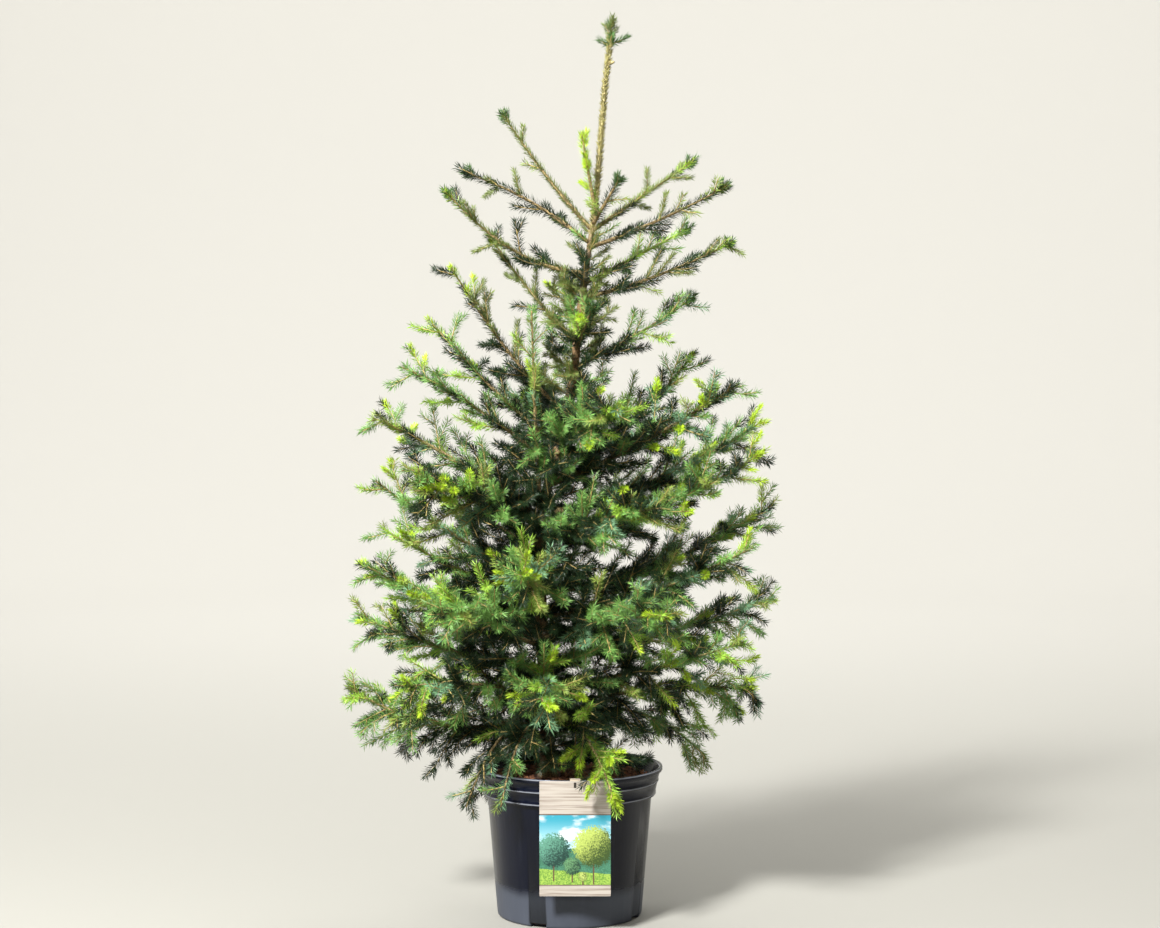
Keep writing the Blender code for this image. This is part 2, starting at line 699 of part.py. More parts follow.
def make_mass(limb, seed, lines, section, collection, pieces):
    """The foliage of one limb: a stem, its side twigs and their teeth as one body."""
    space = OwnSpace(limb, lines)
    reach = SHOOT_REACH if limb.side < SHOOT_SIDE else SPRAY_REACH
    stem_root = TWIG_CORE
    if limb.bare > 0.0:
        first = limb.bare + JOINT_GAP / share_length(limb)
        stem_root = BOUGH_TIP - BOUGH_END_STEP
    else:
        first_span = TOOTH_CREST * STEM_PITCH / share_length(limb)
        first = share_at_trunk(limb, first_span, stem_root, section)
    stem = limb_line(limb, first)
    name = limb.name + "_foliage"
    base = toothed_spray(name, stem, space, section, collection, stem_root, STEM_PITCH, reach)
    for k, (root, heading, length, lift) in enumerate(side_twigs(limb, stem, seed)):
        line = kept_part(twig_line(root, heading, length, lift), space, TWIG_CORE)
        if len(line) * SAMPLE_STEP < SHORTEST_TWIG:
            continue
        toothed_spray(f"twig_{k}", line, space, section, pieces, TWIG_ROOT, TOOTH_PITCH, reach)
    return one_body(base, pieces)


def one_body(base, pieces):
    """The stem fused with its twigs, every face flat and no scrap left."""
    fused(base, pieces, "MANIFOLD")
    flatten_faces(base.data)
    drop_scraps(base.data)
    return base


class OpenAir:
    """The space round the leader's tip, where no neighbour is near."""

    def room(self, place):
        return SHOOT_REACH


def make_top(section, collection, pieces):
    """The tuft of short shoots that closes the leader."""
    crown, _ = trunk_at(TRUNK_STATIONS[-1][0])
    start = crown + Vector((0.0, 0.0, FIT))
    end = Vector((crown.x + TOP_LEAN, crown.y, TREE_TOP))
    space = OpenAir()
    stem = [start, start.lerp(end, 0.5), end]
    base = toothed_spray(
        "top_foliage", stem, space, section, collection, TWIG_CORE, TUFT_PITCH, SHOOT_REACH
    )
    root = start.lerp(end, TUFT_START)
    for k, (azimuth, length, steepness) in enumerate(TUFT):
        turn = math.radians(azimuth)
        heading = Vector((math.cos(turn), math.sin(turn), steepness)).normalized()
        line = twig_line(root, heading, length, TUFT_LIFT)
        toothed_spray(
            f"twig_{k}", line, space, section, pieces, TWIG_ROOT, TUFT_PITCH, SHOOT_REACH
        )
    return one_body(base, pieces)


def shade(item, material, smooth=False):
    item.data.materials.clear()
    item.data.materials.append(material)
    for face in item.data.polygons:
        face.use_smooth = smooth


def main():
    clear_scene()
    tree = bpy.data.collections.new("potted_serbian_spruce")
    bpy.context.scene.collection.children.link(tree)
    pieces = bpy.data.collections.new("pieces")
    bpy.context.scene.collection.children.link(pieces)
    section = three_sided_section()

    black = plain_material("black_plastic", (0.012, 0.013, 0.017, 1.0), 0.35)
    earth = plain_material("bark_mulch", (0.120, 0.050, 0.025, 1.0), 0.95)
    bark = plain_material("bark", (0.230, 0.110, 0.045, 1.0), 0.85)
    card = plain_material("label_card", (0.720, 0.660, 0.560, 1.0), 0.45)
    needles = {}
    for name, colour in TINTS.items():
        needles[name] = plain_material("needles_" + name, colour, 0.55)

    shade(make_pot(tree, pieces), black, smooth=True)
    shade(make_soil(tree), earth)
    shade(make_label(tree), card)
    shade(make_trunk(tree), bark, smooth=True)
    lines = {limb.name: limb_line(limb, 0.02) for limb in LIMBS}
    for seed, limb in enumerate(LIMBS):
        if limb.bare > 0.0:
            shade(make_bough(limb, tree), bark, smooth=True)
        mass = make_mass(limb, seed + 11, lines, section, tree, pieces)
        shade(mass, needles[limb.tint])
    shade(make_top(section, tree, pieces), needles["olive"])

    curve = section.data
    bpy.data.objects.remove(section)
    bpy.data.curves.remove(curve)
    bpy.data.collections.remove(pieces)


main()
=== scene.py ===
# %% [markdown]
# # A potted Serbian spruce
# The solids of this tree are coarse: each spray of needles is a stem with a few big
# teeth. This file puts the real surfaces on them. It grows the twigs on from the
# limbs, sets the needles along them, gives the trunk its bark and makes the pot,
# the mulch and the hanging label. Everything is in metres in the frame of the
# solids: +Z is up, the pot stands on z = 0 and its label faces -Y.

# %% Load the frame
import json
import math
import random
from collections import namedtuple

import bmesh
import bpy
import numpy as np
from mathutils import Matrix, Vector, kdtree, noise

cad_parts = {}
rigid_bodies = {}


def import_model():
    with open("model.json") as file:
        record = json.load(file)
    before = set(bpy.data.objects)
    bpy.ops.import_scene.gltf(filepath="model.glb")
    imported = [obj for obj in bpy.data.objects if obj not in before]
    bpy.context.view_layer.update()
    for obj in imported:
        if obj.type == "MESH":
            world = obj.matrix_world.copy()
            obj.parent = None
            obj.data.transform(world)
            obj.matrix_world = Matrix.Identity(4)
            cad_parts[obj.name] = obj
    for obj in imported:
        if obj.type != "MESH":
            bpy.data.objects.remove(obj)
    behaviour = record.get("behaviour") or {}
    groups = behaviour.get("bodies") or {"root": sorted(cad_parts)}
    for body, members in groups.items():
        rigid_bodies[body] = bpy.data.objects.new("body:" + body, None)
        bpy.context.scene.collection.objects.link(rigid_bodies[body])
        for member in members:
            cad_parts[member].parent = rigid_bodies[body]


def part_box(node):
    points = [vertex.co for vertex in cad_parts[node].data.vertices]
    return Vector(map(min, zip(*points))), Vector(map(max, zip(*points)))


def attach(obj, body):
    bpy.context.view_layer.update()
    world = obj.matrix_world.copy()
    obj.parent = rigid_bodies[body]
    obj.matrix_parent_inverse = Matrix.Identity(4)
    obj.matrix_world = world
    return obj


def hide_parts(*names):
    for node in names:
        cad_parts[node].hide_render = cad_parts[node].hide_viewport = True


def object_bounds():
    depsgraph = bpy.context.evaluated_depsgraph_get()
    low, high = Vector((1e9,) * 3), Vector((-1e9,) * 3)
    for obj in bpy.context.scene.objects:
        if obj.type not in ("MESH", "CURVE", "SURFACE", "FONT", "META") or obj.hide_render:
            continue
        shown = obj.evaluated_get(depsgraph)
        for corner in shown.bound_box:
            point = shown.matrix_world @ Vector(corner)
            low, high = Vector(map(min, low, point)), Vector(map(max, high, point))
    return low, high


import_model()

solid_low, solid_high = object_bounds()
print("solids from", solid_low, "to", solid_high)

# %% [markdown]
# ## Sizes
# A nursery pot of 7.5 litres is about 26 cm across at the rim, and every other size
# follows from it. The trunk could be a curve with handles, but a list of heights
# with an offset and a radius is easier to read and to change. The solids were made
# from the same list, so bark laid on it fits them.

# %% Sizes of the pot, the label and the trunk
RIM_RADIUS = 0.130
BODY_TOP_RADIUS = 0.1147
BASE_RADIUS = 0.101
POT_HEIGHT = 0.209
BAND_HEIGHT = 0.040
WALL = 0.0022
SOIL_TOP = 0.192
FIT = 0.0003
LABEL_WIDTH = 0.096
LABEL_HEIGHT = 0.156
LABEL_THICKNESS = 0.0010
LABEL_OFFSET = 0.008
TRUNK_STATIONS = (
    (SOIL_TOP + FIT, -0.030, 0.000, 0.0170),
    (0.2000, -0.030, 0.000, 0.0150),
    (0.2130, -0.030, 0.001, 0.0125),
    (0.2400, -0.031, 0.002, 0.0110),
    (0.4300, -0.040, 0.005, 0.0092),
    (0.5260, -0.044, 0.004, 0.0085),
    (0.5800, -0.035, 0.002, 0.0079),
    (0.6600, -0.014, -0.001, 0.0071),
    (0.7520, 0.006, -0.003, 0.0064),
    (0.8440, 0.015, -0.002, 0.0057),
    (0.9750, 0.034, 0.001, 0.0048),
    (1.0200, 0.039, 0.001, 0.0046),
    (1.1530, 0.049, -0.001, 0.0042),
    (1.1900, 0.0535, -0.001, 0.0036),
)
TREE_TOP = 1.2535
TOP_LEAN = 0.006
GOLDEN_TURN = math.radians(137.5)
BOUGH_ROOT = 0.0052
BOUGH_TIP = 0.0034
FIRST_TWIG = 0.08
TWIG_TAPER = 0.55
TIP_LEAD = 0.018
SAMPLE_STEP = 0.003

# %% [markdown]
# ## The limbs
# One row is one limb: its height on the trunk, its azimuth in degrees (0 is right,
# -90 is front), how far its tip reaches and rises, the bow of its middle, the fall
# gathered at its tip, the share that is bare bough, its longest side twig, how many
# side twigs its solid has, and the kind of its needles. A table keeps the whole
# crown in view at once, where fifty hand-drawn curves would not.

# %% The limbs
Limb = namedtuple("Limb", "name height azimuth reach rise bow weep bare side twigs tint")
# The kind dark, given mostly to limbs on the right and at the rear, away from the key lamp, deals
# out darker greens there as painted shade.
LIMBS = (
    Limb("high_left_shoot", 0.955, 172, 0.129, 0.167, -0.008, 0.0, 0.0, 0.035, 3, "olive"),
    Limb("bright_shoot", 0.985, -130, 0.030, 0.105, 0.0, 0.0, 0.0, 0.042, 3, "fresh"),
    Limb("short_right_shoot", 0.962, -52, 0.064, 0.064, 0.0, 0.0, 0.0, 0.042, 3, "olive"),
    Limb("long_left_shoot", 0.936, 165, 0.186, 0.102, 0.012, 0.0, 0.0, 0.060, 5, "olive"),
    Limb("low_left_shoot", 0.895, 190, 0.199, 0.115, -0.028, 0.0, 0.0, 0.065, 6, "olive"),
    Limb("high_right_shoot", 0.953, 18, 0.154, 0.103, 0.0, 0.0, 0.0, 0.050, 5, "olive"),
    Limb("long_right_shoot", 0.930, -12, 0.199, 0.085, -0.005, 0.0, 0.0, 0.055, 6, "olive"),
    Limb("rear_right_shoot", 0.880, 42, 0.206, 0.085, 0.0, 0.0, 0.0, 0.055, 6, "green"),
    Limb("low_right_shoot", 0.860, -6, 0.213, 0.079, -0.008, 0.0, 0.0, 0.065, 7, "olive"),
    Limb("steep_left_shoot", 0.800, 155, 0.140, 0.155, -0.010, 0.0, 0.0, 0.060, 6, "olive"),
    Limb("front_upper_shoot", 0.790, -75, 0.090, 0.060, 0.0, 0.0, 0.0, 0.055, 6, "green"),
    Limb("rear_upper_shoot", 0.800, 98, 0.130, 0.090, 0.0, 0.0, 0.0, 0.065, 6, "green"),
    Limb("right_upper_shoot", 0.765, 8, 0.172, 0.100, -0.006, 0.0, 0.0, 0.070, 7, "green"),
    Limb("left_forked_limb", 0.700, 188, 0.163, 0.208, -0.016, 0.0, 0.0, 0.085, 7, "olive"),
    Limb("front_leader", 0.550, -104, 0.050, 0.300, -0.030, 0.0, 0.50, 0.060, 7, "green"),
    Limb("left_rising_limb", 0.655, 170, 0.190, 0.182, -0.010, 0.0, 0.0, 0.090, 7, "green"),
    Limb("right_rising_limb", 0.640, 22, 0.215, 0.149, -0.030, 0.0, 0.0, 0.095, 7, "green"),
    Limb("left_broad_limb", 0.628, 186, 0.216, 0.139, 0.010, 0.0, 0.0, 0.100, 7, "green"),
    Limb("right_broad_limb", 0.600, -24, 0.286, 0.145, -0.010, 0.0, 0.28, 0.105, 7, "dark"),
    Limb("front_high_limb", 0.640, -62, 0.190, 0.070, 0.010, 0.0, 0.0, 0.100, 7, "green"),
    Limb("rear_high_limb", 0.640, 100, 0.190, 0.100, 0.005, 0.0, 0.0, 0.100, 7, "dark"),
    Limb("left_far_limb", 0.550, 168, 0.249, 0.145, 0.012, 0.0, 0.28, 0.110, 7, "green"),
    Limb("right_far_limb", 0.560, 12, 0.321, 0.129, -0.020, 0.0, 0.28, 0.115, 8, "dark"),
    Limb("right_mid_limb", 0.520, -16, 0.323, 0.132, -0.020, 0.0, 0.0, 0.110, 8, "dark"),
    Limb("front_left_limb", 0.540, 232, 0.262, 0.075, 0.010, 0.0, 0.0, 0.115, 8, "green"),
    Limb("front_right_limb", 0.515, -50, 0.262, 0.065, 0.010, 0.0, 0.0, 0.115, 8, "green"),
    Limb("rear_left_limb", 0.505, 136, 0.255, 0.080, 0.010, 0.0, 0.0, 0.120, 7, "dark"),
    Limb("rear_right_limb", 0.490, 48, 0.275, 0.080, 0.010, 0.0, 0.0, 0.120, 7, "dark"),
    Limb("left_level_limb", 0.470, 194, 0.236, 0.143, -0.012, 0.0, 0.0, 0.115, 7, "green"),
    Limb("right_level_limb", 0.450, 6, 0.334, 0.124, -0.025, 0.0, 0.26, 0.115, 8, "dark"),
    Limb("front_middle_limb", 0.450, -95, 0.250, 0.045, 0.010, 0.0, 0.0, 0.115, 8, "green"),
    Limb("left_mid_limb", 0.440, 163, 0.244, 0.099, -0.010, 0.0, 0.0, 0.110, 7, "green"),
    Limb("right_lower_limb", 0.415, -22, 0.315, 0.110, -0.015, 0.0, 0.0, 0.110, 8, "dark"),
    Limb("front_left_low_limb", 0.400, 242, 0.285, 0.045, 0.010, 0.0, 0.0, 0.115, 8, "green"),
    Limb("front_right_low_limb", 0.385, -54, 0.290, 0.055, 0.010, 0.0, 0.0, 0.115, 8, "green"),
    Limb("rear_left_low_limb", 0.375, 130, 0.280, 0.040, 0.010, 0.0, 0.0, 0.120, 8, "dark"),
    Limb("rear_right_low_limb", 0.375, 46, 0.295, 0.050, 0.010, 0.0, 0.0, 0.120, 8, "dark"),
    Limb("left_low_limb", 0.375, 196, 0.250, 0.119, -0.010, 0.0, 0.0, 0.110, 7, "green"),
    Limb("right_low_limb", 0.355, 10, 0.335, 0.084, -0.010, 0.0, 0.0, 0.110, 8, "dark"),
    Limb("left_lower_limb", 0.345, 164, 0.284, 0.069, -0.015, 0.0, 0.0, 0.105, 8, "green"),
    Limb("right_foot_limb", 0.320, -20, 0.295, 0.075, -0.010, 0.0, 0.0, 0.105, 8, "green"),
    Limb("front_low_limb", 0.318, -90, 0.225, 0.010, 0.010, 0.0, 0.0, 0.105, 8, "green"),
    Limb("left_foot_limb", 0.305, 214, 0.232, 0.030, 0.010, 0.0, 0.0, 0.105, 8, "green"),
    Limb("left_weeping_limb", 0.285, 184, 0.280, 0.039, -0.040, 0.0, 0.0, 0.105, 8, "green"),
    Limb("right_weeping_limb", 0.290, 4, 0.301, 0.023, 0.010, 0.0, 0.0, 0.105, 8, "green"),
    Limb("rear_weeping_limb", 0.300, 92, 0.268, 0.010, 0.010, 0.03, 0.0, 0.115, 8, "dark"),
    Limb("left_hanging_spray", 0.262, 222, 0.150, 0.010, 0.015, 0.115, 0.0, 0.065, 6, "green"),
    Limb("front_left_spray", 0.258, 246, 0.152, 0.012, 0.018, 0.105, 0.0, 0.060, 6, "dark"),
    Limb("front_hanging_spray", 0.268, -62, 0.205, 0.020, 0.010, 0.110, 0.0, 0.075, 7, "fresh"),
    Limb("right_hanging_spray", 0.262, 30, 0.270, 0.0, 0.025, 0.070, 0.0, 0.080, 7, "green"),
)
print(len(LIMBS), "limbs,", sum(limb.bare > 0.0 for limb in LIMBS), "of them with a bare bough")

# %% [markdown]
# ## Where the trunk and the limbs run
# Everything that grows needs two questions answered: where is the trunk at this
# height, and where is this limb at this share of its length? Two small functions
# answer them from the tables. The shape of a limb is a straight rise with a bow
# added in its middle and a fall gathered at its end.

# %% The lines of trunk and limbs
def trunk_at(height):
    """Centre and radius of the trunk at a height."""
    heights = [row[0] for row in TRUNK_STATIONS]
    x = np.interp(height, heights, [row[1] for row in TRUNK_STATIONS])
    y = np.interp(height, heights, [row[2] for row in TRUNK_STATIONS])
    radius = np.interp(height, heights, [row[3] for row in TRUNK_STATIONS])
    return Vector((x, y, height)), float(radius)


def limb_point(limb, share):
    """The limb's centre line, share 0 at the trunk's heart to 1 at the tip."""
    root, _ = trunk_at(limb.height)
    turn = math.radians(limb.azimuth)
    outward = Vector((math.cos(turn), math.sin(turn), 0.0))
    lift = limb.rise * share
    lift += limb.bow * 4.0 * share * (1.0 - share)
    lift -= limb.weep * share ** 2.5
    return root + outward * (limb.reach * share) + Vector((0.0, 0.0, lift))


def limb_line(limb, first=0.0, last=1.0, count=14):
    step = (last - first) / (count - 1)
    return [limb_point(limb, first + step * i) for i in range(count)]


def line_length(line):
    return sum((end - start).length for start, end in zip(line, line[1:]))


def line_samples(line, step=SAMPLE_STEP):
    """Points every few millimetres along a polyline."""
    places = []
    for start, end in zip(line, line[1:]):
        parts = max(1, int((end - start).length / step))
        places.extend(start.lerp(end, i / parts) for i in range(parts))
    places.append(line[-1])
    return places


limb_lines = {limb.name: limb_line(limb, 0.02) for limb in LIMBS}
print("limbs are", round(sum(map(line_length, limb_lines.values())), 1), "m long in all")

# %% [markdown]
# ## Room for each spray
# Two sprays that run through each other look wrong and tangle. A simple rule keeps
# them apart: a limb owns every place that lies nearer to it than to any other limb.
# Half the difference of the two distances is the room left at a place. A k-d tree
# finds the nearest point fast enough to ask this many thousands of times. The pot,
# the trunk, the label and the box of the solid limit the room as well.

# %% The space a limb owns
POT_GAP = 0.003
NODE_MARGIN = 0.002
TREE_MARGIN = -0.006
HANGING_LIMB = 0.36
HANGING_DEPTH = 0.050


def tree_of(places):
    tree = kdtree.KDTree(len(places))
    for i, place in enumerate(places):
        tree.insert(place, i)
    tree.balance()
    return tree


def pot_room(place):
    """Distance kept from the pot, the soil and the label."""
    out = math.hypot(place.x, place.y)
    above_rim = place.z - POT_HEIGHT - POT_GAP
    outside = out - RIM_RADIUS - POT_GAP
    inside = min(place.z - SOIL_TOP, RIM_RADIUS - 0.008 - out)
    beside = abs(place.x - LABEL_OFFSET) - LABEL_WIDTH / 2
    before = -place.y - RIM_RADIUS - 2 * LABEL_THICKNESS
    behind = place.y + RIM_RADIUS - 0.012
    label = max(beside, before, behind, above_rim)
    return min(max(above_rim, outside, inside), label)


class OwnSpace:
    """All that lies nearer to one limb than to any other."""

    def __init__(self, limb):
        others = []
        for name, line in limb_lines.items():
            if name != limb.name:
                others.extend(line_samples(line))
        low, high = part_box(limb.name + "_foliage")
        if limb.bare > 0.0:
            bough_low, bough_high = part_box(limb.name + "_bough")
            low = [min(a, b - 0.03) for a, b in zip(low, bough_low)]
            high = [max(a, b + 0.03) for a, b in zip(high, bough_high)]
        if limb.height < HANGING_LIMB:
            low = (low[0], low[1], low[2] - HANGING_DEPTH)
        self.low = [max(a - NODE_MARGIN, b - TREE_MARGIN) for a, b in zip(low, solid_low)]
        self.high = [min(a + NODE_MARGIN, b + TREE_MARGIN) for a, b in zip(high, solid_high)]
        self.own = tree_of(line_samples(limb_lines[limb.name]))
        self.others = tree_of(others)

    def room(self, place):
        for i in range(3):
            if not self.low[i] < place[i] < self.high[i]:
                return -1.0
        near_own = self.own.find(place)[2]
        near_other = self.others.find(place)[2]
        centre, radius = trunk_at(min(max(place.z, SOIL_TOP), 1.19))
        trunk_free = (place - centre).length * 0.94 - radius
        return min((near_other - near_own) / 2.0, trunk_free, pot_room(place))


def kept_part(line, space, radius):
    """The line up to where a twig of that radius would leave the limb's space."""
    kept = []
    for place in line_samples(line):
        if space.room(place) < radius:
            break
        kept.append(place)
    return kept


print("spaces end", -TREE_MARGIN * 1000, "mm inside the box of the solids")

# %% [markdown]
# ## The rule that grows side twigs
# A spruce shoot bears its side shoots turn by turn round the stem, each a golden
# angle on from the last, and they get shorter towards the tip. The same function
# made the side twigs of the solids. Called again with the same seed it gives the
# same twigs, so the fine foliage grows exactly where the coarse teeth are, and with
# other seeds it adds the finer ones between.

# %% Side twigs
def twig_line(root, heading, length, lift, count=5):
    """A twig that starts along the heading and is lifted or let fall as it goes."""
    step = length / (count - 1)
    line = [root.copy()]
    pointer = heading.copy()
    for _ in range(count - 1):
        pointer = (pointer + Vector((0.0, 0.0, lift))).normalized()
        line.append(line[-1] + pointer * step)
    return line


Habit = namedtuple("Habit", "lifts spread taper flat")
MAIN_HABIT = Habit((-0.04, 0.10), (40.0, 58.0), TWIG_TAPER, 0.0)


def side_twigs(stem, count, longest, seed, habit=MAIN_HABIT):
    """Root, heading, length and lift of the twigs that leave a stem turn by turn."""
    draw = random.Random(seed)
    stem_length = line_length(stem)
    rows = []
    for k in range(count):
        share = FIRST_TWIG + (1.0 - FIRST_TWIG) * (k + 0.2 + 0.5 * draw.random()) / count
        spot = share * (len(stem) - 1)
        low = min(int(spot), len(stem) - 2)
        root = stem[low].lerp(stem[low + 1], spot - low)
        along = (stem[low + 1] - stem[low]).normalized()
        across = along.cross(Vector((0.0, 0.0, 1.0)))
        if across.length < 0.2:
            across = Vector((1.0, 0.0, 0.0))
        across.normalize()
        roll = GOLDEN_TURN * k + math.radians(draw.uniform(-20.0, 20.0))
        roll -= habit.flat * math.sin(2.0 * roll)
        outward = Matrix.Rotation(roll, 3, along) @ across
        spread = math.radians(draw.uniform(*habit.spread))
        heading = along * math.cos(spread) + outward * math.sin(spread)
        length = longest * (1.0 - habit.taper * share) * draw.uniform(0.85, 1.12)
        length = min(length, (1.0 - share) * stem_length + TIP_LEAD)
        rows.append((root, heading, length, draw.uniform(*habit.lifts)))
    return rows


# %% [markdown]
# ## The camera
# The photograph was taken from straight in front at a little over half the height
# of the tree, looking slightly down, from far enough to flatten the crown. A lens
# of about 74 mm at 3.3 m gives that view.

# %% Camera
CAMERA_PLACE = (0.0146, -3.3, 0.768)
CAMERA_PITCH = 2.4
camera_data = bpy.data.cameras.new("camera")
camera_data.sensor_width = 36.0
camera_data.lens = 73.64
camera = bpy.data.objects.new("camera", camera_data)
bpy.context.scene.collection.objects.link(camera)
camera.location = CAMERA_PLACE
camera.rotation_euler = (math.radians(90.0 - CAMERA_PITCH), 0.0, 0.0)
bpy.context.scene.camera = camera
print("camera", CAMERA_PLACE, "looks down", CAMERA_PITCH, "degrees")

# %% [markdown]
# ## Node trees written as sums
# Materials and Geometry Nodes are both trees of nodes. Wiring them by hand hides the
# arithmetic, so a small class wraps one output and overloads the signs: `a * 2 + b`
# adds the two math nodes by itself. Every other node comes from one method, `add`,
# which takes its kind, its settings and the values or links of its sockets.

# %% Wires and benches
def feed(tree, socket, value):
    """Link a wire to a socket, or set the socket's own value."""
    if isinstance(value, Wire):
        tree.links.new(value.socket, socket)
    elif isinstance(value, (tuple, list)):
        for i, part in enumerate(value):
            socket.default_value[i] = part
    else:
        socket.default_value = value


class Wire:
    """One output in a node tree, ready for sums."""

    def __init__(self, bench, socket):
        self.bench = bench
        self.socket = socket

    def other(self, name):
        """Another output of the same node."""
        return Wire(self.bench, self.socket.node.outputs[name])

    def maths(self, operation, *values):
        pairs = dict(enumerate(values))
        return self.bench.add("ShaderNodeMath", {"operation": operation}, pairs)

    def __add__(self, other):
        return self.maths("ADD", self, other)

    def __radd__(self, other):
        return self.maths("ADD", other, self)

    def __sub__(self, other):
        return self.maths("SUBTRACT", self, other)

    def __rsub__(self, other):
        return self.maths("SUBTRACT", other, self)

    def __mul__(self, other):
        return self.maths("MULTIPLY", self, other)

    def __rmul__(self, other):
        return self.maths("MULTIPLY", other, self)

    def __truediv__(self, other):
        return self.maths("DIVIDE", self, other)

    def __pow__(self, other):
        return self.maths("POWER", self, other)

    def __abs__(self):
        return self.maths("ABSOLUTE", self)

    def __gt__(self, other):
        return self.maths("GREATER_THAN", self, other)

    def __lt__(self, other):
        return self.maths("LESS_THAN", self, other)

    def sine(self):
        return self.maths("SINE", self)

    def ramp(self, low, high):
        """0 up to low, 1 from high on, and a smooth rise between."""
        settings = {"interpolation_type": "SMOOTHSTEP"}
        values = {"Value": self, "From Min": low, "From Max": high}
        return self.bench.add("ShaderNodeMapRange", settings, values)


class Bench:
    """A node tree with one way to add any node to it."""

    def __init__(self, tree):
        self.tree = tree

    def add(self, kind, settings=None, values=None, output=0):
        node = self.tree.nodes.new(kind)
        for name, value in (settings or {}).items():
            setattr(node, name, value)
        for name, value in (values or {}).items():
            feed(self.tree, node.inputs[name], value)
        return Wire(self, node.outputs[output])


class Finish(Bench):
    """A material and the nodes that it is made with."""

    def __init__(self, name, roughness=0.5, **sockets):
        self.material = bpy.data.materials.new(name)
        self.material.use_nodes = True
        super().__init__(self.material.node_tree)
        self.shader = self.tree.nodes["Principled BSDF"]
        self.shader.inputs["Roughness"].default_value = roughness
        for key, value in sockets.items():
            self.shader.inputs[key.replace("_", " ")].default_value = value

    def place(self):
        return self.add("ShaderNodeTexCoord", output="Object")

    def scaled(self, factors):
        """Object coordinates stretched by three factors."""
        settings = {"operation": "MULTIPLY"}
        return self.add("ShaderNodeVectorMath", settings, {0: self.place(), 1: factors})

    def noise(self, scale, detail=3.0, place=None):
        values = {"Vector": place or self.place(), "Scale": scale, "Detail": detail}
        return self.add("ShaderNodeTexNoise", values=values)

    def cells(self, scale, place=None, output="Distance"):
        values = {"Vector": place or self.place(), "Scale": scale}
        return self.add("ShaderNodeTexVoronoi", values=values, output=output)

    def axes(self):
        """The three object coordinates, each as a number."""
        x = self.add("ShaderNodeSeparateXYZ", values={0: self.place()}, output="X")
        return x, x.other("Y"), x.other("Z")

    def mix(self, share, first, second):
        settings = {"data_type": "RGBA"}
        return self.add("ShaderNodeMix", settings, {0: share, 6: first, 7: second}, 2)

    def colour(self, value):
        feed(self.tree, self.shader.inputs["Base Color"], value)

    def rough(self, value):
        feed(self.tree, self.shader.inputs["Roughness"], value)

    def bump(self, height, strength, distance):
        values = {"Height": height, "Strength": strength, "Distance": distance}
        normal = self.add("ShaderNodeBump", values=values)
        feed(self.tree, self.shader.inputs["Normal"], normal)


class Recipe(Bench):
    """A Geometry Nodes tree with named inputs that end in one mesh."""

    def __init__(self, name):
        super().__init__(bpy.data.node_groups.new(name, "GeometryNodeTree"))
        self.slots = {}
        face = self.tree.interface
        face.new_socket("Geometry", in_out="INPUT", socket_type="NodeSocketGeometry")
        face.new_socket("Geometry", in_out="OUTPUT", socket_type="NodeSocketGeometry")
        self.inlet = self.tree.nodes.new("NodeGroupInput")
        self.outlet = self.tree.nodes.new("NodeGroupOutput")

    def given(self, name, kind="Float"):
        """A named input of the recipe."""
        face = self.tree.interface
        slot = face.new_socket(name, in_out="INPUT", socket_type="NodeSocket" + kind)
        self.slots[name] = slot.identifier
        return Wire(self, self.inlet.outputs[name])

    def random(self, low, high, seed):
        settings = {"data_type": "FLOAT"}
        return self.add("FunctionNodeRandomValue", settings, {2: low, 3: high, 8: seed}, 1)

    def turned(self, rotation, axis, angle):
        """A rotation turned on about one of its own axes."""
        step = self.add("FunctionNodeAxisAngleToRotation", values={0: axis, 1: angle})
        settings = {"rotation_space": "LOCAL"}
        return self.add("FunctionNodeRotateRotation", settings, {0: rotation, 1: step})

    def facing(self, rotation, axis, pivot, vector):
        settings = {"axis": axis, "pivot_axis": pivot}
        values = {"Vector": vector}
        if rotation:
            values["Rotation"] = rotation
        return self.add("FunctionNodeAlignRotationToVector", settings, values)

    def finish(self, geometry, material):
        """Turn instances into one real mesh with its material."""
        real = self.add("GeometryNodeRealizeInstances", values={0: geometry})
        done = self.add("GeometryNodeSetMaterial", values={0: real, "Material": material})
        self.tree.links.new(done.socket, self.outlet.inputs[0])


def placed(name, data):
    item = bpy.data.objects.new(name, data)
    bpy.context.scene.collection.objects.link(item)
    return item


def made(name, recipe, **values):
    """A plain mesh object made by a recipe with its inputs filled in."""
    item = placed(name, bpy.data.meshes.new(name))
    modifier = item.modifiers.new("recipe", "NODES")
    modifier.node_group = recipe.tree
    for key, value in values.items():
        modifier[recipe.slots[key.replace("_", " ")]] = value
    graph = bpy.context.evaluated_depsgraph_get()
    mesh = bpy.data.meshes.new_from_object(item.evaluated_get(graph))
    item.modifiers.clear()
    item.data = mesh
    mesh.name = name
    print(name, len(mesh.polygons), "faces")
    return item


def mesh_from(name, vertices, faces):
    mesh = bpy.data.meshes.new(name)
    mesh.from_pydata([tuple(v) for v in vertices], [], [tuple(f) for f in faces])
    mesh.update()
    return mesh


def dress(piece, finish, smooth=False):
    piece.data.materials.clear()
    piece.data.materials.append(finish.material)
    piece.data.shade_smooth() if smooth else piece.data.shade_flat()


print("benches ready")

# %% [markdown]
# ## The studio
# A plain paper floor turns up into a wall in one sweep all round, so no line shows
# behind the tree from any side. The light is soft: one large lamp high on the left
# in front, a weak one on the right, one behind for the rims, lamps that wash the
# wall, and a dim sky. The standard view transform keeps black plastic black and
# young needles bright.

# %% Floor and backdrop
NEAR_PAPER = (0.295, 0.287, 0.255, 1.0)
FAR_PAPER = (0.505, 0.492, 0.452, 1.0)
FLOOR_REACH = 4.6
SWEEP_RADIUS = 3.6
WALL_TOP = 7.5
STUDIO_STEPS = 96


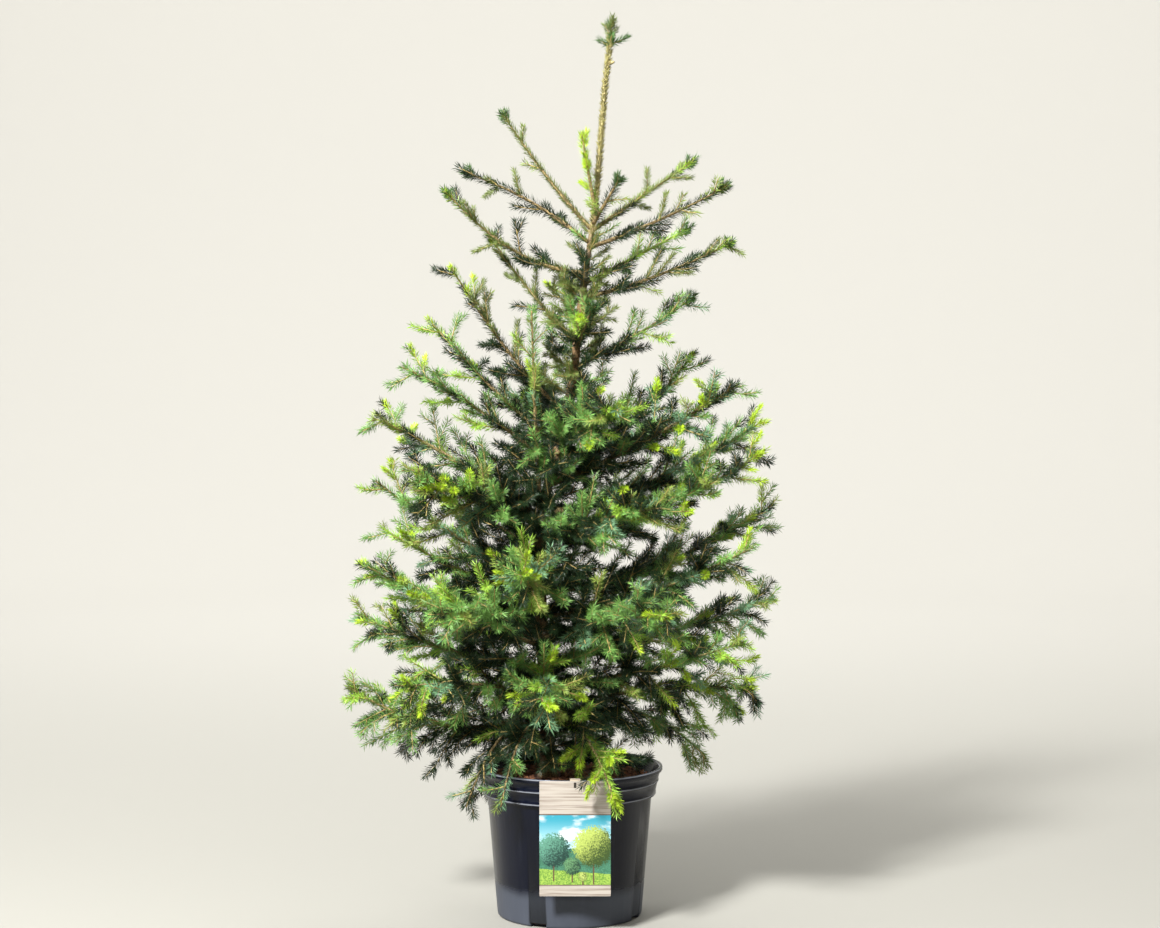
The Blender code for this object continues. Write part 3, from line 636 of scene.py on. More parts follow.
def studio_bowl():
    """A round floor that turns up into a wall, closed at its centre."""
    rows = [(1.0, 0.0), (2.2, 0.0), (3.4, 0.0), (FLOOR_REACH, 0.0)]
    for k in range(1, 19):
        turn = math.radians(90.0 * k / 18)
        out = FLOOR_REACH + SWEEP_RADIUS * math.sin(turn)
        rows.append((out, SWEEP_RADIUS * (1.0 - math.cos(turn))))
    rows.append((FLOOR_REACH + SWEEP_RADIUS, WALL_TOP))
    vertices = [(0.0, 0.0, 0.0)]
    faces = []
    for out, height in rows:
        for k in range(STUDIO_STEPS):
            turn = math.tau * k / STUDIO_STEPS
            vertices.append((out * math.cos(turn), out * math.sin(turn), height))
    for k in range(STUDIO_STEPS):
        n = (k + 1) % STUDIO_STEPS
        faces.append((0, 1 + k, 1 + n))
        for row in range(len(rows) - 1):
            a = 1 + row * STUDIO_STEPS
            b = a + STUDIO_STEPS
            faces.append((a + k, b + k, b + n, a + n))
    return placed("studio_floor", mesh_from("studio_floor", vertices, faces))


floor = studio_bowl()
paper = Finish("studio_paper", 0.9)
_, depth, _ = paper.axes()
paper.colour(paper.mix(depth.ramp(0.2, 5.0), NEAR_PAPER, FAR_PAPER))
dress(floor, paper, True)
print("floor laid")

# %% Lamps and sky
def area_lamp(name, place, target, size, power):
    data = bpy.data.lights.new(name, "AREA")
    data.size = size
    data.energy = power
    item = placed(name, data)
    item.location = place
    aim = Vector(target) - Vector(place)
    item.rotation_euler = aim.to_track_quat("-Z", "Y").to_euler()


area_lamp("key", (-1.9, -3.0, 3.3), (0.0, 0.0, 0.6), 0.7, 565.0)
area_lamp("fill", (2.8, -2.4, 1.6), (0.0, 0.0, 0.5), 2.0, 3.0)
area_lamp("back", (0.6, 1.9, 3.2), (0.0, 0.0, 0.7), 1.6, 24.0)
for name, x, y, power in (
    ("wall_back", 0.0, 1.0, 445.0),
    ("wall_left", -1.0, 0.0, 150.0),
    ("wall_right", 1.0, 0.0, 150.0),
    ("wall_front", 0.0, -1.0, 150.0),
):
    area_lamp(name, (3.8 * x, 3.8 * y, 5.6), (7.2 * x, 7.2 * y, 0.8), 6.0, power)
world = bpy.data.worlds.new("studio")
bpy.context.scene.world = world
world.use_nodes = True
sky = world.node_tree.nodes["Background"]
sky.inputs["Color"].default_value = (1.0, 0.98, 0.94, 1.0)
sky.inputs["Strength"].default_value = 0.03
bpy.context.scene.view_settings.view_transform = "Standard"
print(len([o for o in bpy.context.scene.objects if o.type == "LIGHT"]), "lamps")

# %% [markdown]
# ## Growing the twigs
# Each limb is grown again here. First come the side twigs of its solid, then more
# between them, then short twigs on every side twig. The tips of low limbs hang and
# those of high ones rise. Each twig remembers which green its spray has and how
# long a part of its end is this year's light growth.

# %% The kinds of spray
Twig = namedtuple("Twig", "points radius tint young")
# The near-black dark green in these mixes is painted shade, dealt out among the sprays.
TINT_MIX = {
    "olive": ("olive", "olive", "olive", "moss", "dark"),
    "green": ("green", "green", "green", "moss", "leafy", "blue", "dark"),
    "dark": ("dark", "green", "green", "moss", "blue"),
    "fresh": ("leafy", "leafy", "leafy", "green", "moss"),
}
ORDER_TWO_STEP = 0.0100
ORDER_THREE_STEP = 0.021
ORDER_THREE_LENGTH = 0.044
SHORTEST_LINE = 5
YOUNG_REACH = 0.60
# Painted shade: within this share of a broad limb's span, most sprays get the near-black green.
PAINTED_SHADE_REACH = 0.56
PAINTED_SHADE_CHANCE = 0.62
SHADED_SHARE = 0.25
OLD_GROWTH = ("left_hanging_spray", "front_left_spray", "left_weeping_limb")
HIGH_LIMB = 0.74
MIDDLE_LIMB = 0.42
LOW_LIMB = 0.31
NEEDLE_LEAD = 0.006


def fine_habit(limb, flat):
    """How the finer twigs of a limb bend, spread and shorten along their way."""
    if limb.height > HIGH_LIMB:
        return Habit((0.02, 0.14), (26.0, 40.0), 0.60, flat)
    if limb.height > MIDDLE_LIMB:
        return Habit((-0.03, 0.10), (28.0, 46.0), 0.86, flat)
    if limb.height > LOW_LIMB:
        return Habit((-0.12, 0.05), (30.0, 50.0), 0.80, flat)
    return Habit((-0.34, -0.04), (34.0, 58.0), 0.58, flat)


def fullness(limb):
    """0 for the brush-like shoots of the top, 1 for the broad limbs."""
    return min(max((limb.side - 0.035) / 0.065, 0.0), 1.0)


def young_part(limb, out, chance, draw):
    """Length of the light growth at a twig's end, mostly none."""
    if limb.name in OLD_GROWTH:
        chance = 0.0
    elif limb.tint == "fresh":
        chance = 0.6
    elif limb.height > HIGH_LIMB:
        chance *= 0.35
    length = draw.uniform(0.011, 0.016)
    if limb.tint == "fresh" and limb.height > HIGH_LIMB:
        return 1.6 * length
    return length if out > YOUNG_REACH and draw.random() < chance else 0.0


def tip_tuft(stem, draw):
    """The crowded dark shoots at the end of an upper limb."""
    along = (stem[-1] - stem[-2]).normalized()
    across = along.cross(Vector((0.0, 0.0, 1.0))).normalized()
    tuft = []
    for k in range(4):
        turn = Matrix.Rotation(GOLDEN_TURN * k, 3, along)
        heading = (along + turn @ across * draw.uniform(0.5, 0.9)).normalized()
        root = stem[-1] - along * (0.006 + 0.003 * k)
        line = twig_line(root, heading, draw.uniform(0.009, 0.014), 0.10)
        tuft.append(Twig(line, 0.0010, "tuft", 0.0))
    return tuft


def needle_end(limb):
    """The share of a limb at which its stem ends and the last needles begin."""
    return 1.0 - NEEDLE_LEAD / line_length(limb_line(limb, 0.0))


def grow(limb, seed):
    """All twigs of one limb, coarse to fine."""
    space = OwnSpace(limb)
    draw = random.Random(seed * 7 + 3)
    full = fullness(limb)
    last = needle_end(limb)
    high = limb.height > HIGH_LIMB
    stem = limb_line(limb, max(limb.bare, 0.06), last)
    inner = limb_line(limb, 0.03 if high else 0.10, last)
    span = line_length(inner)
    tint = draw.choice(TINT_MIX[limb.tint])
    grown = [Twig(inner, 0.0022, tint, young_part(limb, 1.0, 0.5, draw))]
    sides = side_twigs(stem, limb.twigs, limb.side, seed)
    leftward = math.cos(math.radians(limb.azimuth)) < -0.7
    open_side = leftward and limb.height > MIDDLE_LIMB
    extra = int((0.65 * full if high else 0.16 + 0.84 * full) * span / ORDER_TWO_STEP)
    longest = limb.side * (0.80 if limb.height > MIDDLE_LIMB else 1.0)
    flat = 0.60 if leftward else 0.35
    if open_side:
        extra = int(extra * 0.5)
        longest *= 0.72
    elif limb.height < MIDDLE_LIMB:
        extra = int(extra * 0.8)
    sides += side_twigs(inner, extra, longest, seed + 500, fine_habit(limb, flat))
    if high and limb.tint != "fresh":
        grown += tip_tuft(inner, draw)
    for root, heading, reach, lift in sides:
        line = kept_part(twig_line(root, heading, reach, lift), space, 0.003)
        if len(line) < SHORTEST_LINE:
            continue
        out = (line[-1] - inner[0]).length / span
        tint = draw.choice(TINT_MIX[limb.tint])
        # Painted shade: the inner sprays of broad limbs mostly get the near-black green.
        if full > 0.3 and out < PAINTED_SHADE_REACH and draw.random() < PAINTED_SHADE_CHANCE:
            tint = "dark"
        grown.append(Twig(line, 0.0012, tint, young_part(limb, out, 0.20, draw)))
        count = int(full * line_length(line) / ORDER_THREE_STEP)
        fine_seed = draw.randrange(10 ** 6)
        for row in side_twigs(line, count, ORDER_THREE_LENGTH, fine_seed, fine_habit(limb, flat)):
            fine = kept_part(twig_line(*row), space, 0.0025)
            if len(fine) >= SHORTEST_LINE:
                # Painted shade: a share of the fine twigs gets the near-black green.
                shade = "dark" if draw.random() < SHADED_SHARE else tint
                grown.append(Twig(fine, 0.0009, shade, young_part(limb, out, 0.07, draw)))
    return grown


twigs = []
for number, limb in enumerate(LIMBS):
    twigs.extend(grow(limb, number + 11))
print(len(twigs), "twigs,", round(sum(line_length(t.points) for t in twigs), 1), "m")

# %% [markdown]
# Short shoots also come straight out of the trunk between the limbs. They fill the
# dark inside of the crown, where otherwise the sky would show through, and most of
# them get the near-black green as painted shade.

# %% Inner shoots
INNER_FOOT = 0.212
INNER_TOP = 0.70
INNER_STEP = 0.0045
inner_twigs = []
draw = random.Random(29)
for k in range(int((INNER_TOP - INNER_FOOT) / INNER_STEP)):
    share = k * INNER_STEP / (INNER_TOP - INNER_FOOT)
    centre, radius = trunk_at(INNER_FOOT + k * INNER_STEP)
    turn = GOLDEN_TURN * k
    heading = Vector((math.cos(turn), math.sin(turn), draw.uniform(-0.1, 0.5))).normalized()
    reach = draw.uniform(0.75, 1.1) * (0.150 - 0.085 * share)
    lift = draw.uniform(-0.10, 0.08) if share > 0.2 else draw.uniform(-0.30, -0.05)
    line = twig_line(centre + heading * radius, heading, reach, lift)
    clear = [place for place in line_samples(line) if pot_room(place) > 0.004]
    if len(clear) >= 8:
        # Mostly the near-black green: painted shade inside the crown.
        tint = draw.choice(("dark", "dark", "dark", "green"))
        inner_twigs.append(Twig(clear, 0.0012, tint, 0.0))
        for row in side_twigs(clear, 5, 0.050, 900 + k):
            fine = [place for place in line_samples(twig_line(*row)) if pot_room(place) > 0.004]
            if len(fine) >= SHORTEST_LINE:
                inner_twigs.append(Twig(fine, 0.0008, tint, 0.0))
UPPER_FOOT = 0.700
UPPER_STEP = 0.0062
for k in range(41):
    share = k / 41
    centre, radius = trunk_at(UPPER_FOOT + k * UPPER_STEP)
    turn = GOLDEN_TURN * k + 0.4
    heading = Vector((math.cos(turn), math.sin(turn), draw.uniform(0.3, 0.9))).normalized()
    reach = draw.uniform(0.7, 1.15) * (0.075 - 0.045 * share)
    line = line_samples(twig_line(centre + heading * radius, heading, reach, 0.05))
    # Some upper inner shoots get the near-black green: painted shade.
    tint = draw.choice(("dark", "olive", "olive", "green"))
    inner_twigs.append(Twig(line, 0.0011, tint, 0.0))
    if share < 0.7:
        for row in side_twigs(line, 3, 0.030, 1300 + k):
            inner_twigs.append(Twig(line_samples(twig_line(*row)), 0.0008, tint, 0.0))
print(len(inner_twigs), "inner shoots")

# %% [markdown]
# ## The leader
# The top of the trunk is a single shoot with short needles pressed to it and a tuft
# of young side shoots at its end. It is grown apart from the limbs, because it
# follows the trunk itself.

# %% The leader and its tuft
LEADER_FOOT = 0.945
LEADER_NEEDLE_TOP = TREE_TOP - 0.006
crown_place, _ = trunk_at(TRUNK_STATIONS[-1][0])
leader_tip = Vector((crown_place.x + TOP_LEAN, crown_place.y, LEADER_NEEDLE_TOP))
leader_line = []
height = LEADER_FOOT
while height < TRUNK_STATIONS[-1][0]:
    leader_line.append(trunk_at(height)[0])
    height += 0.02
leader_line.append(crown_place.lerp(leader_tip, 0.55))
leader_twigs = [Twig(leader_line, 0.0022, "khaki", 0.0)]
spike = [crown_place.lerp(leader_tip, share) for share in (0.40, 0.60, 0.80, 1.0)]
tuft_twigs = [Twig(spike, 0.0014, "olive", 0.0)]
for share, azimuth, rise, reach, tint in (
    (0.34, 4, 0.24, 0.026, "tuft"),
    (0.30, 176, 0.42, 0.016, "tuft"),
    (0.38, -80, 0.35, 0.016, "tuft"),
    (0.32, 92, 0.40, 0.018, "tuft"),
    (0.50, 30, 1.10, 0.016, "olive"),
    (0.55, -150, 1.20, 0.016, "olive"),
    (0.66, 120, 1.60, 0.014, "tuft"),
    (0.72, -40, 1.80, 0.012, "olive"),
):
    turn = math.radians(azimuth)
    heading = Vector((math.cos(turn), math.sin(turn), rise)).normalized()
    root = crown_place.lerp(leader_tip, share)
    tuft_twigs.append(Twig(twig_line(root, heading, reach, 0.08), 0.0012, tint, 0.0))
print(len(tuft_twigs), "shoots in the tuft")

# %% [markdown]
# ## Needles
# A spruce needle is a short blade with a keel. Ten thousand of them can't be modelled one
# by one, and copies placed by a modifier follow every shoot for free. The recipe
# walks along each shoot, turns a golden angle from needle to needle, draws them to
# the two sides like a comb, leans them forward and closes them at the tip.

# %% One needle
def needle_blade():
    """A narrow blade folded along its midrib, one unit long and one unit wide."""
    corners = ((0.0, 0.0, 0.0), (-0.2, -0.5, 0.42), (0.0, 0.0, 1.0), (-0.2, 0.5, 0.42))
    return placed("needle_blade", mesh_from("needle_blade", corners, ((0, 1, 2), (0, 2, 3))))


blade = needle_blade()
print("a needle has", len(blade.data.polygons), "faces")

# %% The recipe for needles along shoots
Z_AXIS = (0.0, 0.0, 1.0)
Y_AXIS = (0.0, 1.0, 0.0)
brush = Recipe("needles_along_shoots")
shoots = brush.given("Shoots", "Object")
needle = brush.given("Needle", "Object")
spacing = brush.given("Spacing")
needle_length = brush.given("Needle Length")
needle_width = brush.given("Needle Width")
lean = brush.given("Lean")
lean_spread = brush.given("Lean Spread")
comb = brush.given("Comb")
gather = brush.given("Gather")
seed = brush.given("Seed", "Int")
needle_finish = brush.given("Finish", "Material")

curves = brush.add("GeometryNodeObjectInfo", values={"Object": shoots}, output="Geometry")
even = brush.add(
    "GeometryNodeResampleCurve", {"mode": "LENGTH"}, {"Curve": curves, "Length": spacing}
)
factor = brush.add("GeometryNodeSplineParameter", output="Factor")
noted = brush.add(
    "GeometryNodeStoreNamedAttribute",
    {"data_type": "FLOAT", "domain": "POINT"},
    {"Geometry": even, "Name": "share", "Value": factor},
)
points = brush.add("GeometryNodeCurveToPoints", {"mode": "EVALUATED"}, {0: noted})
tangent = points.other("Tangent")
share = brush.add("GeometryNodeInputNamedAttribute", {"data_type": "FLOAT"}, {"Name": "share"})
index = brush.add("GeometryNodeInputIndex")
radius = brush.add("GeometryNodeInputRadius")

along = brush.facing(None, "Z", "AUTO", tangent)
upright = brush.facing(along, "Y", "Z", Z_AXIS)
turn = index * GOLDEN_TURN
turn = turn - comb * (turn * 2.0).sine() + brush.random(-0.30, 0.30, seed)
facing = brush.turned(upright, Z_AXIS, turn)
out = brush.add("ShaderNodeCombineXYZ", values={"X": radius * 0.8})
shift = brush.add("FunctionNodeRotateVector", values={0: out, 1: facing})
seated = brush.add("GeometryNodeSetPosition", values={"Geometry": points, "Offset": shift})
opening = lean + brush.random(-1.0, 1.0, seed + 1) * lean_spread
opening = opening * (1.0 - gather * share * share)
leaning = brush.turned(facing, Y_AXIS, opening)
blade_turn = brush.turned(leaning, Z_AXIS, brush.random(-0.9, 0.9, seed + 2))
size = brush.random(0.78, 1.12, seed + 3)
scale = brush.add(
    "ShaderNodeCombineXYZ",
    values={"X": needle_width * size, "Y": needle_width * size, "Z": needle_length * size},
)
blade_mesh = brush.add("GeometryNodeObjectInfo", values={"Object": needle}, output="Geometry")
set_out = brush.add(
    "GeometryNodeInstanceOnPoints",
    values={"Points": seated, "Instance": blade_mesh, "Rotation": blade_turn, "Scale": scale},
)
brush.finish(set_out, needle_finish)
print("recipe of", len(brush.tree.nodes), "nodes")

# %% [markdown]
# ## Greens
# No two sprays of a real crown have the same green: those seen from below show a
# blue-silver side, the outer ones are yellower, and the new tips are lime. Inner
# sprays, some fine twigs and the inner shoots get a near-black green as painted
# shade. Plain colours dealt out by spray give that look, and each green is its own
# set of pieces.

# %% Kinds of needles
Kind = namedtuple("Kind", "spacing length width lean spread comb gather colour slot")
KINDS = {
    # The near-black dark needles are painted shade.
    "dark": Kind(0.56, 0.0112, 0.0013, 60, 14, 0.10, 0.35, (0.015, 0.034, 0.011), "dark"),
    "green": Kind(0.78, 0.0108, 0.0013, 60, 11, 0.36, 0.30, (0.150, 0.300, 0.068), "green"),
    "moss": Kind(0.78, 0.0104, 0.0013, 60, 11, 0.36, 0.30, (0.230, 0.310, 0.060), "green"),
    "leafy": Kind(0.74, 0.0104, 0.0013, 58, 11, 0.36, 0.30, (0.280, 0.470, 0.055), "green"),
    "blue": Kind(0.78, 0.0108, 0.0013, 60, 11, 0.36, 0.30, (0.150, 0.290, 0.150), "green"),
    "olive": Kind(0.50, 0.0088, 0.0013, 48, 13, 0.15, 0.30, (0.165, 0.215, 0.055), "olive"),
    "khaki": Kind(0.40, 0.0080, 0.0020, 42, 15, 0.0, 0.10, (0.340, 0.310, 0.120), "olive"),
    "tuft": Kind(0.48, 0.0100, 0.0012, 50, 16, 0.10, 0.45, (0.070, 0.150, 0.040), "dark"),
    "fresh": Kind(0.44, 0.0090, 0.0014, 56, 14, 0.10, 0.70, (0.410, 0.580, 0.035), "fresh"),
}
NEEDLE_BUDGET = 380000
PIECE_BUDGET = 92000
LEAFY_PART = 0.015


def parts_of(twig):
    """The stretches of a twig, each with its kind of needles."""
    if twig.young <= 0.0:
        return [(twig.tint, twig.points)]
    steps = max(2, round(twig.young / SAMPLE_STEP))
    line = line_samples(twig.points)
    leafy = round(LEAFY_PART / SAMPLE_STEP)
    stretches = [("fresh", line[-steps - 1:])]
    middle = line[-steps - leafy - 1:-steps]
    if len(middle) > 1:
        stretches.append(("leafy", middle))
    base = line[:-steps - leafy]
    if len(base) > 1:
        stretches.append((twig.tint, base))
    return stretches


stretches = {name: [] for name in KINDS}
for twig in twigs + inner_twigs + leader_twigs + tuft_twigs:
    for name, line in parts_of(twig):
        stretches[name].append((line, twig.radius))
wanted = 0.0
for name, lines in stretches.items():
    metres = sum(line_length(line) for line, _ in lines)
    wanted += metres / KINDS[name].spacing * 1000.0
    print(name, len(lines), "stretches,", round(metres, 1), "m")
crowding = wanted / NEEDLE_BUDGET
print("needles wanted", round(wanted), "spacing times", round(crowding, 2))

# %% Lay the needles
def curve_object(name, lines):
    """One curve object with a polyline for every stretch."""
    curve = bpy.data.curves.new(name, "CURVE")
    curve.dimensions = "3D"
    for line, radius in lines:
        spline = curve.splines.new("POLY")
        spline.points.add(len(line) - 1)
        spline.points.foreach_set("co", [c for p in line for c in (p.x, p.y, p.z, 1.0)])
        spline.points.foreach_set("radius", [radius] * len(line))
    return placed(name, curve)


def piled(lines, limit):
    """Lines in groups, none longer in all than the limit."""
    groups = [[]]
    filled = 0.0
    for line, radius in lines:
        length = line_length(line)
        if filled + length > limit:
            groups.append([])
            filled = 0.0
        groups[-1].append((line, radius))
        filled += length
    return groups


needle_pieces = []
for name, kind in KINDS.items():
    finish = Finish("needle_" + name, 0.40, Specular_IOR_Level=0.28)
    tone = finish.noise(38.0, 2.0).ramp(0.3, 0.7)
    shade = [value * 0.72 for value in kind.colour]
    light = [value * 1.22 for value in kind.colour]
    finish.colour(finish.mix(tone, (*shade, 1.0), (*light, 1.0)))
    gap = kind.spacing * 0.001 * crowding
    for number, group in enumerate(piled(stretches[name], PIECE_BUDGET * gap)):
        lines = curve_object("shoot_lines", group)
        piece = made(
            f"needles_{name}_{number + 1}",
            brush,
            Shoots=lines,
            Needle=blade,
            Spacing=gap,
            Needle_Length=kind.length,
            Needle_Width=kind.width,
            Lean=math.radians(kind.lean),
            Lean_Spread=math.radians(kind.spread),
            Comb=kind.comb,
            Gather=kind.gather,
            Seed=17 + number,
            Finish=finish.material,
        )
        bpy.data.objects.remove(lines)
        needle_pieces.append((piece, "needles_" + kind.slot))
bpy.data.objects.remove(blade)
print(sum(len(piece.data.polygons) for piece, _ in needle_pieces), "needle faces in all")

# %% [markdown]
# ## Twigs
# The twigs under the needles are thin and tan, and they show as pale lines along
# the top of each spray. A three-sided profile swept along the same lines is enough
# at this thickness.

# %% Young twigs
sweep = Recipe("twigs_along_lines")
twig_lines = sweep.given("Lines", "Object")
twig_step = sweep.given("Step")
twig_finish = sweep.given("Finish", "Material")
source = sweep.add("GeometryNodeObjectInfo", values={"Object": twig_lines}, output="Geometry")
coarse = sweep.add(
    "GeometryNodeResampleCurve", {"mode": "LENGTH"}, {"Curve": source, "Length": twig_step}
)
profile = sweep.add(
    "GeometryNodeCurvePrimitiveCircle", {"mode": "RADIUS"}, {"Resolution": 3, "Radius": 1.0}
)
thickness = sweep.add("GeometryNodeInputRadius")
taper = 1.0 - sweep.add("GeometryNodeSplineParameter", output="Factor") * 0.5
swept = sweep.add(
    "GeometryNodeCurveToMesh",
    values={
        "Curve": coarse,
        "Profile Curve": profile,
        "Scale": thickness * taper,
        "Fill Caps": True,
    },
)
sweep.finish(swept, twig_finish)
fine_twigs = [twig for twig in twigs if twig.radius < 0.0015] + inner_twigs + tuft_twigs
young_bark = Finish("young_bark", 0.7)
tan = young_bark.noise(90.0).ramp(0.3, 0.7)
young_bark.colour(young_bark.mix(tan, (0.30, 0.20, 0.06, 1.0), (0.52, 0.40, 0.14, 1.0)))
lines = curve_object("twig_lines", [(twig.points, twig.radius) for twig in fine_twigs])
twig_piece = made("young_twigs", sweep, Lines=lines, Step=0.013, Finish=young_bark.material)
bpy.data.objects.remove(lines)

# %% [markdown]
# ## Bark
# The trunk and the limbs are tapering tubes whose surface is broken into low scales.
# Displacing the rings by noise gives flakes that catch the light, which colour
# alone would not. Numpy makes whole rings at once.

# %% Tubes with relief
def frames_along(points):
    """Two cross directions at each point of a line."""
    tangents = np.gradient(points, axis=0)
    tangents /= np.linalg.norm(tangents, axis=1)[:, None] + 1e-12
    upward = np.array((0.0, 0.0, 1.0))
    if abs(tangents[:, 2]).max() > 0.93:
        upward = np.array((0.35, 0.93, 0.0))
    sides = np.cross(tangents, upward)
    sides /= np.linalg.norm(sides, axis=1)[:, None] + 1e-12
    return sides, np.cross(sides, tangents)


def tube_arrays(points, radii, steps):
    """Corners and triangles of a closed tube."""
    sides, tops = frames_along(points)
    turns = np.arange(steps) * math.tau / steps
    ring = np.cos(turns)[None, :, None] * sides[:, None, :]
    ring = ring + np.sin(turns)[None, :, None] * tops[:, None, :]
    vertices = (points[:, None, :] + ring * radii[:, None, None]).reshape(-1, 3)
    faces = []
    for i in range(len(points) - 1):
        for k in range(steps):
            a = i * steps + k
            b = i * steps + (k + 1) % steps
            faces.append((a, b + steps, b))
            faces.append((a, a + steps, b + steps))
    last = (len(points) - 1) * steps
    for k in range(1, steps - 1):
        faces.append((0, k, k + 1))
        faces.append((last, last + k + 1, last + k))
    return vertices, np.array(faces)


def distances_along(line):
    """How far along the line each of its points lies."""
    spans = [(end - start).length for start, end in zip(line, line[1:])]
    return np.concatenate(([0.0], np.cumsum(spans)))


def bark_tube(places, radii, steps, relief, seed, ring=0.0022):
    """A tube broken into low scales, longer up the stem than across it."""
    places = [Vector(place) for place in places]
    fine = line_samples(places, ring)
    smooth = np.interp(distances_along(fine), distances_along(places), radii)
    points = np.array([tuple(place) for place in fine])
    vertices, faces = tube_arrays(points, smooth, steps)
    centres = np.repeat(points, steps, axis=0)
    out = vertices - centres
    for i, vertex in enumerate(vertices):
        spot = Vector((vertex[0] + seed, vertex[1], vertex[2] * 0.45))
        scale = 0.5 * noise.cell(spot * 260.0) + 0.6 * noise.noise(spot * 180.0)
        vertices[i] = centres[i] + out[i] * (1.0 + relief * scale)
    return vertices, faces


def joined(name, chunks):
    """One object from several sets of corners and triangles."""
    vertices = []
    faces = []
    base = 0
    for some_vertices, some_faces in chunks:
        vertices.append(some_vertices)
        faces.append(some_faces + base)
        base += len(some_vertices)
    mesh = mesh_from(name, np.concatenate(vertices), np.concatenate(faces))
    print(name, len(mesh.polygons), "triangles")
    return placed(name, mesh)


# %% Trunk and limbs
LEADER_HEIGHT = 0.97
BUD_FOOT = 1.183
trunk_points = [(row[1], row[2], row[0]) for row in TRUNK_STATIONS]
trunk_radii = [row[3] * (0.62 if row[0] > LEADER_HEIGHT else 0.92) for row in TRUNK_STATIONS]
bud_root, _ = trunk_at(BUD_FOOT)
bud_line = [bud_root + Vector((0.9, -0.3, 0.25)) * step for step in (0.0, 0.004, 0.009, 0.011)]
trunk_chunks = [bark_tube(trunk_points, trunk_radii, 26, 0.10, 1.0)]
trunk_chunks.append(bark_tube(bud_line, [0.0024, 0.0026, 0.0020, 0.0006], 10, 0.10, 2.0))
trunk = joined("trunk_bark", trunk_chunks)
bough_chunks = []
for number, limb in enumerate(LIMBS):
    line = limb_line(limb, 0.015, needle_end(limb))
    foot = BOUGH_ROOT * 0.92 if limb.bare > 0.0 else 0.0031
    radii = np.linspace(foot, 0.0011, len(line))
    bough_chunks.append(bark_tube(line, radii, 8, 0.10, number + 3.0, 0.0040))
boughs = joined("boughs_bark", bough_chunks)

# %% [markdown]
# Spruce bark is orange-brown where flakes have just come off and greyer on the old
# scales. Two noises of unlike size mix the three tones.

# %% Flaky bark
bark = Finish("flaky_bark", 0.85)
flakes = bark.noise(420.0, 4.0)
patches = bark.noise(55.0, 2.0)
rust = bark.mix(flakes.ramp(0.35, 0.65), (0.080, 0.042, 0.018, 1.0), (0.29, 0.180, 0.078, 1.0))
old_bark = bark.mix(patches.ramp(0.42, 0.72), rust, (0.18, 0.135, 0.078, 1.0))
_, _, height = bark.axes()
straw = bark.mix(flakes.ramp(0.40, 0.60), (0.16, 0.125, 0.045, 1.0), (0.50, 0.42, 0.20, 1.0))
bark.colour(bark.mix(height.ramp(0.92, 1.00), old_bark, straw))
bark.bump(flakes, 0.6, 0.0008)
dress(trunk, bark, True)
tan_bark = Finish("tan_bark", 0.8)
scales = tan_bark.noise(380.0, 3.0)
tan_bark.colour(
    tan_bark.mix(scales.ramp(0.35, 0.65), (0.13, 0.085, 0.035, 1.0), (0.34, 0.245, 0.10, 1.0))
)
tan_bark.bump(scales, 0.5, 0.0006)
dress(boughs, tan_bark, True)

# %% [markdown]
# ## The pot
# A moulded nursery pot is a straight tapering body, a wide band with a rib round
# the top and a rolled lip. A turned profile gives all of it from a few radii and
# heights, and the drain notches are cut out of the foot after that.

# %% The profile of the pot
BAND_FOOT = POT_HEIGHT - BAND_HEIGHT
BAND = BODY_TOP_RADIUS + 0.0045
LIP = RIM_RADIUS - 0.0030
TOP = POT_HEIGHT
inner_wall = [
    (0.0, 0.0035),
    (BASE_RADIUS - WALL - 0.002, 0.0035),
    (BODY_TOP_RADIUS - WALL, BAND_FOOT + 0.002),
    (BAND - WALL, BAND_FOOT + 0.007),
    (LIP - WALL, TOP - 0.002),
]
rolled_lip = [
    (LIP - 0.0012, TOP - 0.0004),
    (LIP, TOP),
    (RIM_RADIUS - 0.0010, TOP - 0.0001),
    (RIM_RADIUS - 0.0003, TOP - 0.0006),
    (RIM_RADIUS, TOP - 0.0014),
    (RIM_RADIUS, TOP - 0.0052),
    (RIM_RADIUS - 0.0006, TOP - 0.0062),
    (LIP, TOP - 0.0068),
]
band_wall = [
    (BAND + 0.0046, BAND_FOOT + 0.0216),
    (BAND + 0.0056, BAND_FOOT + 0.0211),
    (BAND + 0.0056, BAND_FOOT + 0.0197),
    (BAND + 0.0044, BAND_FOOT + 0.0191),
    (BAND + 0.0012, BAND_FOOT + 0.0052),
    (BAND + 0.0018, BAND_FOOT + 0.0044),
    (BAND + 0.0018, BAND_FOOT + 0.0018),
    (BAND + 0.0010, BAND_FOOT + 0.0006),
    (BAND - 0.0008, BAND_FOOT),
]
body_wall = [
    (BODY_TOP_RADIUS + 0.0004, BAND_FOOT - 0.0004),
    (BODY_TOP_RADIUS, BAND_FOOT - 0.0014),
    (BASE_RADIUS, 0.0040),
    (BASE_RADIUS - 0.0004, 0.0022),
    (BASE_RADIUS - 0.0016, 0.0006),
    (BASE_RADIUS - 0.0030, 0.0),
    (0.0, 0.0),
]
pot_profile = inner_wall + rolled_lip + band_wall + body_wall
print(len(pot_profile), "points in the profile")

# %% Turning a profile
def settled(item):
    """The object with its modifiers made real and its normals outward."""
    graph = bpy.context.evaluated_depsgraph_get()
    mesh = bpy.data.meshes.new_from_object(item.evaluated_get(graph))
    item.modifiers.clear()
    item.data = mesh
    work = bmesh.new()
    work.from_mesh(mesh)
    bmesh.ops.remove_doubles(work, verts=work.verts, dist=1e-6)
    bmesh.ops.recalc_face_normals(work, faces=work.faces)
    work.to_mesh(mesh)
    work.free()
    return item


